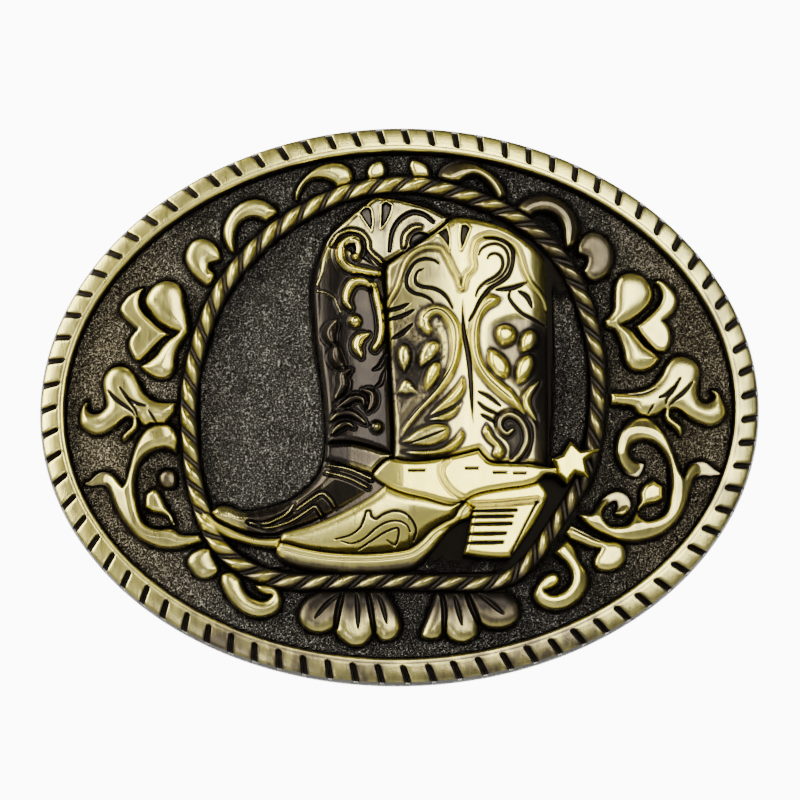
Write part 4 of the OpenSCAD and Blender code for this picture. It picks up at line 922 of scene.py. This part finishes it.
    # leaves at the lower left: outline, height, softness of the side and dome
    for leaf, up, soft, dome in (
            ([[8.9, 2.9, 1], [8.9, 1.5], [8.2, 0.2], [7, -0.8], [5, -1.7], [3.7, -2.2, 1], [5, -0.6],
              [6.5, 0.8], [7.8, 2.2], [8.6, 3.3]], 0.42, 0.45, 0.45),
            ([[3.6, -2.4, 1], [6.5, -1.3], [8.4, -0.2, 1], [7.6, -1.8], [6.3, -2.6], [4.8, -2.8]],
             0.42, 0.45, 0.45),
            ([[0.1, -5.3, 1], [2, -3.8], [3.4, -3.2], [5, -2.8], [6.3, -3.2], [6.7, -4.1], [6, -5.3],
              [4.2, -6.0], [2.2, -6.0]], 0.45, 0.5, 0.5),
            ([[8.3, -3.8, 1], [8.7, -4.6], [8.2, -5.8], [7, -6.7], [5, -7.2], [2.4, -7.3],
              [0.3, -6.6, 1], [2.6, -6.5], [5.0, -6.4], [6.6, -5.6], [7.6, -4.7]], 0.45, 0.45, 0.5)):
        r.patch(leaf, up, soft=soft, halo=0.50, dome=dome)
    r.line([[1.3, -5.6], [3.5, -4.9], [6.2, -3.9]], 0.24, -0.34, taper=0.8)

    # slashes, hook and teardrop at the lower right
    for slash in ([[10.6, 1.3], [12, 0.6], [13.6, -0.7]], [[10.5, -0.1], [11.5, -1], [13.4, -1.9]],
                  [[10.9, -1.8], [12, -2.4], [12.8, -2.9]]):
        r.line(slash, 0.34, -0.5, taper=0.9)
    r.patch([[12.2, -2.6], [13.4, -1.2], [16, -1.0], [17.8, -2.4], [18.2, -5], [17, -8.2], [14.4, -8.0],
             [14.4, -6.2], [13.2, -4.6]], -0.25, soft=0.6, stain=0.62)
    r.line([[15.0, -8.3], [16.2, -7.0], [17.0, -5.3], [16.8, -3.6], [15.9, -2.3], [14.6, -1.8],
            [13.6, -2.5], [13.5, -3.6], [14.3, -4.4], [15.1, -3.9]], 0.64, 0.60, taper=0.35, valley=0.3)
    r.patch([[11.6, -3.1, 1], [11.1, -4.2], [11.7, -5.4], [12.6, -6.3], [12.4, -7.3], [13.4, -7.8],
             [14.1, -6.8], [13.5, -5.7], [12.7, -4.9], [12.3, -4.0]], 0.45, soft=0.45, dome=0.45,
            halo=0.7)
    # painted shade: the lower right side, beyond the tooling, darkened where the shaft rolls away from
    # the light
    r.patina_and_shade += 0.55 * ease((r.x - 17.2) / 1.3) * ease((13.5 - r.z) / 5)
    # dark line along the strap
    r.patina_and_shade += 0.9 * np.exp(-((r.d / 0.25) ** 2)) * (r.z < -5)
    # painted highlight along the crown of the shaft
    r.patina_and_shade -= 0.14 * np.exp(-(((r.x - 9.2) / 2.4) ** 2))
    r.cast("front_boot_shaft", GOLD, tone=0.66, shade=0.2)


def front_foot():
    r = Relief(FRONT_FOOT, BOOT_H, 1.9, 1.6, less=[STRAP], step=0.1)
    # vamp: crown along the middle, falling to the toe
    r.h -= 0.05 * np.maximum(-6 - r.x, 0) + 0.03 * np.maximum(-13 - r.z, 0) ** 1.5 * (r.x > 1)
    r.h -= 0.045 * np.maximum(-14.2 + 0.30 * (r.x + 4) - r.z, 0) ** 2
    r.patina_and_shade += 0.10 * ease((-7 - r.x) / 5)
    r.cuts(([[-8.8, -18.3], [-6.8, -17.8], [-5.4, -16.8], [-4.8, -15.4], [-4.6, -14.7], [-4.1, -14.7],
             [-3.9, -15.4], [-3.3, -15.7], [-2.3, -15.1], [-1, -14.7], [0.3, -14.9], [1.4, -15.8],
             [2, -17.2], [1.6, -18.5]], 0.24, 0.36, 0.4),
           ([[-8, -18.6], [-6.6, -18.9], [-5, -18.3], [-3.4, -17], [-2, -16.2], [-0.5, -16],
             [0.7, -16.5], [1.2, -17.4]], 0.22, 0.34, 0.5),
           ([[-5.7, -19.7], [-4, -18.6], [-2, -17.4], [-0.4, -17], [-0.8, -19.1], [-1.9, -18.5]],
            0.22, 0.34, 0.5))
    r.cast("front_boot_foot", GOLD, tone=0.76, shade=0.25)


def front_sole():
    r = Relief(FRONT_SOLE, BOOT_H - 0.2, 1.2, 1.2, less=[FRONT_FOOT, STRAP], step=0.1)
    # a welt ridge under the vamp, then the edge that rolls under
    out = -inside_by(r.x, r.z, curve(FRONT_FOOT))
    r.h = 2.75 - 0.30 * np.maximum(out - 0.8, 0) ** 1.8 - 0.5 * np.exp(-((out / 0.16) ** 2))
    r.h -= 0.20 * np.exp(-(((out - 0.95) / 0.16) ** 2))
    r.h = np.where(r.d < 0.5, r.h - 0.5 * (1 - r.d / 0.5), r.h)
    # a dark line at the joint with the vamp, and painted shade on the edge that rolls under
    r.patina_and_shade += 1.3 * np.exp(-(((out - 0.05) / 0.22) ** 2)) + 0.62 * ease((out - 1.3) / 1.1)
    r.cast("front_boot_sole", GOLD, tone=0.66)


def front_heel():
    r = Relief(HEEL, BOOT_H, 2.0, 0.7, less=[FRONT_SOLE, STRAP], step=0.09)
    r.h -= 0.03 * np.maximum(r.x - 14, 0)
    r.line([[9.7, -14], [13, -13.9], [18.2, -13.4]], 0.22, 0.2, valley=0.8)
    # grooves across the heel: height and both ends of each
    for z, a, b in ((-14.8, 9.6, 15.4), (-15.6, 9.4, 14.9), (-16.6, 9.4, 14.7), (-17.9, 9.0, 13.9),
                    (-19.1, 8.8, 13.5)):
        r.line([[a, z], [(a + b) / 2, z], [b, z + 0.05]], 0.30, -0.7, taper=0.3)
    r.line([[18.2, -13.6], [16.4, -17], [14.6, -20.5]], 0.2, -0.35)
    r.cast("front_boot_heel", GOLD, tone=0.88)


def strap():
    r = Relief(STRAP, STRAP_H, 2.6, 0.7, less=[ROWEL], step=0.1)
    r.h -= 0.14 * np.maximum(0.5 - r.x, 0) ** 1.3
    r.patina_and_shade += 0.25 * ease((0.2 - r.x) / 3)
    r.line([[6.3, -7.9], [5.5, -8.8], [5.4, -9.8], [6, -11.2], [7.2, -12.5], [8.4, -13.2]], 0.26, 0.24,
           valley=0.5)
    # stitches: both ends and the height of each
    half = 0.18
    for a, b, z in ((1, 3.4, -9.3), (8.6, 10.5, -9.1), (12.3, 14.3, -9.7), (15, 16.9, -9.8)):
        stitch = [[a, z - half], [b, z - half], [b, z + half], [a, z + half]]
        r.patch(stitch, -0.45, soft=0.15, sharp=True)
    r.patina_and_shade += 0.5 * np.exp(-((r.d / 0.22) ** 2))
    r.cast("spur_strap", GOLD, tone=0.90, shade=0.2)


def rowel():
    r = Relief(ROWEL, BOOT_H + 0.3, 2.3, 0.45, step=0.07, power=1.2)
    r.cast("spur_rowel", GOLD, tone=0.88, shade=0.15)


# ------------------------------------------------------------------ rear boot
def rear_shaft():
    r = Relief(REAR_SHAFT, REAR_H, 1.1, 1.0, less=FRONT, step=0.1)
    r.h -= 0.05 * np.minimum(np.abs(r.x + 6), 4.5) ** 2
    # brighter near the top and darker lower down
    base = r.h.copy()
    r.patina_and_shade += 0.42 * ease((21.5 - r.z) / 5) + 0.06 * ease((r.z - 21) / 3)
    for wedge in ([[-5.1, 26.1, 1], [-4.3, 26.9], [-3.5, 26.7], [-3.2, 25], [-3.4, 23.5, 1],
                   [-4.3, 24.8]],
                  [[-2.1, 27.3, 1], [-1.4, 27.8], [-0.5, 27.2, 1], [-0.8, 26], [-1.6, 24.6],
                   [-2.2, 23.9, 1]]):
        r.patch(wedge, -0.5, soft=0.3)
        r.line(wedge, 0.2, 0.2, closed=True)
    # thin bright edge and the small jagged line below it
    r.line([[-10.9, 16.4], [-10.3, 17.9], [-9.9, 19.9], [-9.1, 21.8]], 0.18, 0.28)
    r.line([[-10.9, 15.6], [-10.5, 15.5], [-9.6, 15.2], [-8.6, 14.5], [-8.2, 13.5], [-7.7, 12.4]],
           0.15, 0.24, valley=0.3)
    # scratched arc over the big curl, the curl, and the hollow inside it
    r.line([[-8.8, 21.9], [-8.0, 23.0], [-6.6, 23.6], [-4.9, 23.3], [-4.0, 22.2], [-3.8, 20.9],
            [-2.1, 19.3]], 0.30, 0.34, valley=0.9)
    r.patch([[-7.4, 21.6], [-6.4, 20.6], [-4.6, 19.6], [-2.8, 18.6], [-3.9, 20.4], [-4.6, 22.2],
             [-6, 22.9]], -0.4, soft=0.4, stain=0.55)
    r.line([[-2.5, 17.7], [-4.8, 18.0], [-6.7, 18.6], [-7.6, 19.8], [-7.6, 21.2], [-6.6, 22.2],
            [-5.5, 22.1], [-5.2, 20.9], [-5.6, 19.9]], 0.80, 0.80, taper=0.3, valley=0.5)
    # arcs at the right, half hidden by the front boot
    r.line([[-1, 21], [-0.6, 23.5], [0.4, 25.2], [2, 26.2], [3.6, 26], [5, 24.9]], 0.45, -0.6, taper=0.4)
    r.line([[0.9, 21.5], [1.2, 23], [2.2, 24], [3.2, 24.2]], 0.4, 0.4, valley=0.7, taper=0.5)
    r.patch([[1.6, 21.6], [2, 23.2], [3.2, 23.7], [4.6, 23], [4.4, 21.8]], -0.5, soft=0.4)
    # hooked stem, ball and crescent, gold on black
    r.line([[-3.2, 16.2], [-2.8, 14.3], [-2.3, 12.0], [-2.2, 10.1], [-2.5, 8.6], [-3.2, 7.4]],
           0.74, 0.85, taper=0.3, valley=0.6)
    r.line([[-3.3, 15.7], [-4.4, 16.5], [-5.8, 16.5], [-6.7, 15.4], [-7.0, 14.0], [-6.4, 12.9]],
           0.84, 0.85, taper=0.6, valley=0.6)
    r.patch(disc(-5.8, 11.1, 1.05), 0.5, soft=0.6, dome=0.6, halo=0.6)
    r.line([[-4.0, 9.3], [-5.1, 8.8], [-5.6, 7.7], [-5.0, 6.2]], 0.92, 0.85, taper=0.8, valley=0.6)
    # blackened seeds and leaves lower down
    for seed, wide, high in (
            ([[-8.3, 11.2], [-9.3, 9.7], [-8.8, 8.0]], 1.1, 0.90),
            ([[-8.5, 7.9], [-8.5, 6.2], [-7.4, 4.7]], 1.1, 0.90),
            ([[-6.5, 4.5], [-7.6, 3.8], [-7.6, 2.4], [-8.6, 0.6]], 1.0, 0.85),
            ([[-4.9, 1.7], [-3.7, 1.2], [-3.6, 0.0], [-4.2, -1.2]], 0.85, 0.85),
            ([[-8.6, -1.0], [-7.2, 0.0], [-6.0, 0.7], [-4.9, 0.4], [-4.7, -0.6]], 0.7, 0.75),
            ([[-9.4, -2.4], [-8.2, -1.5], [-7.0, -1.3], [-5.9, -1.7], [-4.5, -2.9]], 0.7, 0.75),
            ([[-9.2, -4.2], [-8.3, -3.3], [-7.0, -2.8], [-6.1, -3.4]], 0.6, 0.70)):
        r.line(seed, wide, high, taper=0.85, valley=0.5, gild=0.05)
    for notch in ([[-3.5, 4.5], [-2.6, 5.0], [-1.7, 6.8]], [[-3.2, 2.1], [-2.4, 2.8], [-1.9, 4.5]]):
        r.line(notch, 0.45, -0.5, taper=0.8)
    r.patch(disc(-3.1, -3.3, 1.0), 0.4, soft=0.6, dome=0.5, halo=0.4)
    # gold on the raised tooling of the upper part, away from the left edge
    gold = ease((r.z - 4.5) / 3) * (1 - ease((-7.0 - r.x) / 0.8) * ease((12.3 - r.z) / 0.8))
    r.patina_and_shade -= 0.60 * ease((r.h - base - 0.05) / 0.35) * gold
    r.cast("rear_boot_shaft", DARK, tone=0.58)


def rear_band():
    r = Relief(REAR_BAND, REAR_H + 0.2, 1.5, 0.8, less=FRONT + [REAR_SHAFT], step=0.08)
    r.patina_and_shade += 0.5 * ease((-6.2 - r.x) / 1.5)
    r.cast("rear_ankle_band", DARK, tone=0.36)


def rear_foot():
    r = Relief(REAR_FOOT, REAR_H, 1.2, 1.5, less=FRONT + [REAR_BAND], step=0.09)
    r.crest([[-24.5, -14.4], [-20, -15], [-16, -14.6], [-12.5, -12.6], [-8, -9.4]], 0.30, 0.3)
    r.patina_and_shade += 0.36 * ease((r.x + 22.5) / 3)
    for rib, half, up, taper in (
            ([[-20.4, -15.8], [-18.5, -16.1], [-16.5, -15.5], [-15, -14.6], [-14.3, -13.5]],
             0.22, 0.3, 0.4),
            ([[-20.2, -15.9], [-18, -16.6], [-15, -15.9], [-13, -14.8], [-11.5, -13.9], [-10.9, -14.6],
              [-10.5, -15.3]], 0.22, 0.3, 0.4),
            ([[-13.9, -14.3], [-12, -13], [-10.5, -12.2], [-9.5, -12.9], [-8.8, -14]], 0.22, 0.3, 0.4),
            ([[-9.6, -8.3], [-6.6, -9.0], [-3.9, -10.2]], 0.2, 0.26, 0),
            ([[-9.9, -9.3], [-6.6, -10.3], [-4.4, -11.4]], 0.2, 0.26, 0)):
        r.line(rib, half, up, taper=taper, valley=0.8)
    r.cast("rear_boot_foot", DARK, tone=0.66)


def rear_sole():
    r = Relief(REAR_SOLE, REAR_H - 0.1, 1.1, 0.7, less=FRONT + [REAR_FOOT], step=0.08)
    out = -inside_by(r.x, r.z, curve(REAR_FOOT))
    r.patina_and_shade += 1.2 * np.exp(-(((out - 0.1) / 0.2) ** 2))
    r.cast("rear_boot_sole", GOLD, tone=0.66)


# ------------------------------------------------------------------ ornaments round the rope
def trim(name, outline, top, edge, roll, less=(), tone=0.60, ridge=None, cuts=(), rope_shade=0.0):
    """ridge is the line of a crest, its fall and its flat half width; cuts are rows for Relief.cuts."""
    r = Relief(outline, top, edge, roll, less=less, power=2.3)
    r.d = np.minimum(r.d, -under_rope(r.x, r.z))
    if ridge:
        r.crest(*ridge)
    r.cuts(*cuts)
    # painted shade: the top of the piece darker where it runs under the rope
    r.patina_and_shade += rope_shade * ease((r.z + 30.6) / 5.0)
    r.cast(name, GOLD, tone=tone)


# name, outline, height in the middle and at the edge, width of the rolled side, then the rest
TRIMS = [
    ("crescent_upper_left", CR_UP_LEFT, 1.9, 0.7, 1.3, {}),
    ("crescent_lower_left", CR_LOW_LEFT, 1.9, 0.7, 1.3, {}),
    ("crescent_upper_right", CR_UP_RIGHT, 2.2, 0.7, 0.5, dict(tone=0.28, ridge=(
        [[7.5, 30.7], [8.2, 31.2], [9.5, 31.6], [10.8, 31.6], [12.2, 30.9], [13.3, 29.8], [14, 28.3]],
        1.0, 0.3))),
    ("crescent_lower_right", CR_LOW_RIGHT, 2.2, 0.7, 0.5, dict(tone=0.20, ridge=(
        [[17.4, 26.1], [18.3, 26.8], [20, 27.2], [21.6, 26.8], [22.9, 25.6], [23.4, 24],
         [23.2, 22.2], [22.9, 21.1]], 1.0, 0.3))),
    ("bean_left", BEAN_LEFT, 1.8, 0.7, 1.6, {}),
    ("bean_right", BEAN_RIGHT, 1.8, 0.7, 1.6, dict(tone=0.24)),
    ("top_bud_left", BUD_TOP_LEFT, 1.4, 0.6, 0.8, {}),
    ("top_bud_right", BUD_TOP_RIGHT, 1.4, 0.6, 0.8, {}),
    ("heart_outer_left", HEART_OUT_LEFT, 1.5, 0.7, 0.8, dict(less=[HEART_IN_LEFT])),
    ("heart_outer_right", HEART_OUT_RIGHT, 1.5, 0.7, 0.8, dict(less=[HEART_IN_RIGHT])),
    ("heart_inner_left", HEART_IN_LEFT, 2.2, 0.8, 2.2, {}),
    ("heart_inner_right", HEART_IN_RIGHT, 2.2, 0.8, 2.2, {}),
    ("scroll_ball_left", BALL_LEFT, 1.6, 0.6, 1.1, dict(tone=0.16)),
    ("scroll_bud_left", BUD_LEFT, 1.7, 0.6, 0.8, {}),
    ("scroll_bud_right", BUD_RIGHT, 1.7, 0.6, 0.9, {}),
    ("acanthus_left", ACANTHUS_LEFT, 2.1, 0.8, 1.8, dict(cuts=(
        ([[-39.4, 2.8], [-38.2, 1.5], [-36.2, -0.1], [-35.8, -0.7]], 0.34, 0.5, 0.8),
        ([[-37.8, 3.2], [-36.8, 1.8], [-35.9, 0.4], [-35.4, -0.7]], 0.30, 0.5, 0.7),
        ([[-36.7, 1.7], [-35.5, 0.9], [-34.1, 0.5]], 0.3, 0.45, 0.8),
        ([[-33.9, 1.6], [-32.6, 1.1], [-31.2, 1]], 0.2, 0.3, 0.6),
        ([[-33.9, -0.1], [-33.2, -1.2], [-32.6, -1.9]], 0.22, 0.4, 0.6)))),
    ("acanthus_right", ACANTHUS_RIGHT, 2.1, 0.8, 1.8, dict(cuts=(
        ([[38.1, 3.3], [37.2, 1.9], [36.2, 0.5], [36, -0.3]], 0.30, 0.5, 0.7),
        ([[39.8, 2.9], [38.6, 1.5], [37.2, 0.3], [36.5, -0.4]], 0.34, 0.5, 0.8),
        ([[35.1, 0.6], [36, 1], [37.3, 2.2]], 0.3, 0.45, 0.8),
        ([[31, 1], [33, 1.1], [34.8, 1.9]], 0.22, 0.35, 0.6),
        ([[34.3, -0.4], [33.6, -1.5]], 0.22, 0.4, 0.6)))),
    ("scroll_left", SCROLL_LEFT, 2.2, 0.7, 0.6, dict(
        less=[ACANTHUS_LEFT, BUD_LEFT], tone=0.52, ridge=(
            [[-30.3, -3.8], [-31.6, -4.4], [-33.4, -4.6], [-34.9, -5.6], [-36.1, -7.6], [-36.8, -10],
             [-36.5, -12.4], [-36, -14.4], [-35, -16.2], [-33.4, -16.9], [-31.4, -17.2],
             [-29.4, -17.8], [-27.2, -17.6]], 0.55, 0.4))),
    ("scroll_right", SCROLL_RIGHT, 2.2, 0.7, 0.6, dict(
        less=[ACANTHUS_RIGHT, BUD_RIGHT], tone=0.48, ridge=(
            [[29.6, -6.8], [30.4, -4.6], [32, -3.9], [34.4, -4.4], [36, -6.2], [37.2, -9.4],
             [37.3, -12.6], [36.6, -14.8], [35, -16.3], [33, -16.8], [31, -17.2], [28.6, -17.4],
             [26.8, -16.2], [25.4, -15.9]], 0.55, 0.45))),
    ("bulb_left", BULB_LEFT, 1.8, 0.7, 1.8, dict(tone=0.50)),
    ("bulb_right", BULB_RIGHT, 1.8, 0.7, 1.2, dict(cuts=(
        ([[22.8, -17.2], [24.6, -18.1], [26.5, -19.0]], 0.18, 0.3, 0.3),))),
    ("volute_left", VOLUTE_LEFT, 2.0, 0.7, 1.3, dict(tone=0.54)),
    ("volute_right", VOLUTE_RIGHT, 2.1, 0.7, 0.6, dict(less=[BULB_RIGHT], ridge=(
        [[21.2, -19.8], [22.4, -21.4], [22.9, -22.2], [23.3, -23.3], [23.1, -24.6],
         [22.2, -25.9], [20.8, -26.6], [19.2, -26.4], [18.6, -25.4], [19.4, -24.2],
         [20.2, -24]], 0.6, 0.4))),
    ("fan_left", FAN_LEFT, 2.0, 0.6, 1.8, dict(tone=0.48, rope_shade=0.60, cuts=(
        ([[-7.9, -25.6], [-8.4, -27.4], [-8.9, -30]], 0.55, 1.0, 0.3),
        ([[-4.6, -25.4], [-4.2, -27.6], [-3.8, -30.6]], 0.5, 0.9, 0.3),
        ([[-8.2, -25.5], [-10, -27], [-11.6, -28.8]], 0.42, 0.5, 0.8),
        ([[-6.1, -25.6], [-5.9, -27.6], [-5.9, -30.2]], 0.42, 0.5, 0.8),
        ([[-3.2, -25.8], [-2.6, -27.4], [-2.1, -29.6]], 0.38, 0.5, 0.8)))),
    ("fan_right", FAN_RIGHT, 2.0, 0.6, 1.8, dict(tone=0.42, rope_shade=0.60, cuts=(
        ([[8.6, -25.6], [9.2, -27.4], [10.2, -29.9]], 0.55, 1.0, 0.3),
        ([[5.3, -25.6], [5.6, -28], [5.5, -30.9]], 0.5, 0.9, 0.3),
        ([[10.2, -25.9], [11.6, -27], [13.4, -28.6]], 0.42, 0.5, 0.8),
        ([[7, -26], [7.4, -27.8], [7.9, -30.0]], 0.42, 0.5, 0.8)))),
]


# ------------------------------------------------------------------ shade round the ornaments
def shadow_map():
    """Gives the distance from places on the field to the nearest ornament, boot or rope."""
    step = 0.3
    half_x, half_z = 50, 39
    gx, gz = np.meshgrid(np.arange(-half_x, half_x, step), np.arange(-half_z, half_z, step),
                         indexing="ij")
    far = -under_rope(gx, gz)
    for outline in FRONT + REAR + [row[1] for row in TRIMS]:
        ring = curve(outline, n=3)
        lo, hi = ring.min(0) - 2.5, ring.max(0) + 2.5
        w = (gx > lo[0]) & (gx < hi[0]) & (gz > lo[1]) & (gz < hi[1])
        far[w] = np.minimum(far[w], -inside_by(gx[w], gz[w], ring))

    def look(x, z):
        i = np.clip(((x + half_x) / step).round().astype(int), 0, gx.shape[0] - 1)
        j = np.clip(((z + half_z) / step).round().astype(int), 0, gx.shape[1] - 1)
        return far[i, j]
    return look


base_plate(shadow_map())
for build in (rim_border, rope_ring, front_shaft, front_foot, front_sole, front_heel, strap, rowel,
              rear_shaft, rear_band, rear_foot, rear_sole):
    build()
for name, outline, top, edge, roll, rest in TRIMS:
    trim(name, outline, top, edge, roll, **rest)

# fittings on the back keep their exact shapes
for node, material in (("loop_lug_upper", FITTING), ("loop_lug_lower", FITTING), ("belt_loop", WIRE),
                       ("hook_foot", FITTING), ("hook_peg", FITTING)):
    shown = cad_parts[node]
    shown.data.materials.clear()
    shown.data.materials.append(material)


# ------------------------------------------------------------------ floor, light and camera
def area(name, place, wide, high, power, tint=(1, 1, 1)):
    """Rectangular lamp turned to the middle of the buckle."""
    lamp = bpy.data.lights.new(name, "AREA")
    lamp.shape = "RECTANGLE"
    lamp.size = wide
    lamp.size_y = high
    lamp.energy = power
    lamp.color = tint
    obj = bpy.data.objects.new(name, lamp)
    bpy.context.scene.collection.objects.link(obj)
    obj.location = place
    obj.rotation_euler = (-Vector(place)).to_track_quat("-Z", "Y").to_euler()


def studio():
    half, down = 3, -0.8
    mesh = bpy.data.meshes.new("floor")
    mesh.from_pydata([(-half, -half, down), (half, -half, down), (half, half, down),
                      (-half, half, down)], [], [(0, 1, 2, 3)])
    floor = bpy.data.objects.new("floor", mesh)
    bpy.context.scene.collection.objects.link(floor)
    mat, tree, shader = new_material("floor_pale")
    cloud = noise(tree, places(tree), 6, 4)
    shade = ramp(tree, cloud, (0.32, (0.60, 0.60, 0.59)), (0.68, (0.64, 0.64, 0.63)))
    tree.links.new(shade, shader.inputs["Base Color"])
    shader.inputs["Roughness"].default_value = 0.7
    mesh.materials.append(mat)

    # world: bright white straight behind the buckle and dark all round, so the metal keeps its contrast
    world = bpy.data.worlds.new("studio")
    bpy.context.scene.world = world
    world.use_nodes = True
    tree = world.node_tree
    split = tree.nodes.new("ShaderNodeSeparateXYZ")
    tree.links.new(places(tree, "Generated"), split.inputs[0])
    behind = maths(tree, "MULTIPLY_ADD", split.outputs["Y"], 0.5, 0.5)
    tone = ramp(tree, behind, (0.90, (0.085, 0.085, 0.09)), (0.96, 11.0))
    tree.links.new(tone, tree.nodes["Background"].inputs["Color"])
    tree.nodes["Background"].inputs["Strength"].default_value = 1.0

    area("key_left", (-0.75, -0.30, 0.35), 0.4, 0.9, 15.5, (1.0, 0.955, 0.82))
    area("front_right", (0.16, -0.80, 0.18), 0.56, 0.40, 7.6, (1.0, 0.965, 0.86))
    area("side_right", (0.52, -0.60, 0.16), 0.26, 0.40, 2.6)
    area("low_lilac", (-0.30, -0.55, -0.26), 0.10, 0.12, 0.6, (0.90, 0.88, 1.0))


def camera():
    """A long lens, a little below the buckle and looking slightly up at it."""
    cam = bpy.data.cameras.new("camera")
    cam.lens = 150
    cam.sensor_width = 36
    cam.clip_start = 0.01
    obj = bpy.data.objects.new("camera", cam)
    bpy.context.scene.collection.objects.link(obj)
    tilt, roll = math.radians(9.5), math.radians(-0.85)
    away = 0.451
    target = np.array([0.0001, 0.0018, 0.00075])
    obj.location = target + away * np.array([0, -math.cos(tilt), -math.sin(tilt)])
    obj.rotation_euler = (Matrix.Rotation(math.radians(90) + tilt, 3, "X")
                          @ Matrix.Rotation(roll, 3, "Z")).to_euler()
    bpy.context.scene.camera = obj


studio()
camera()
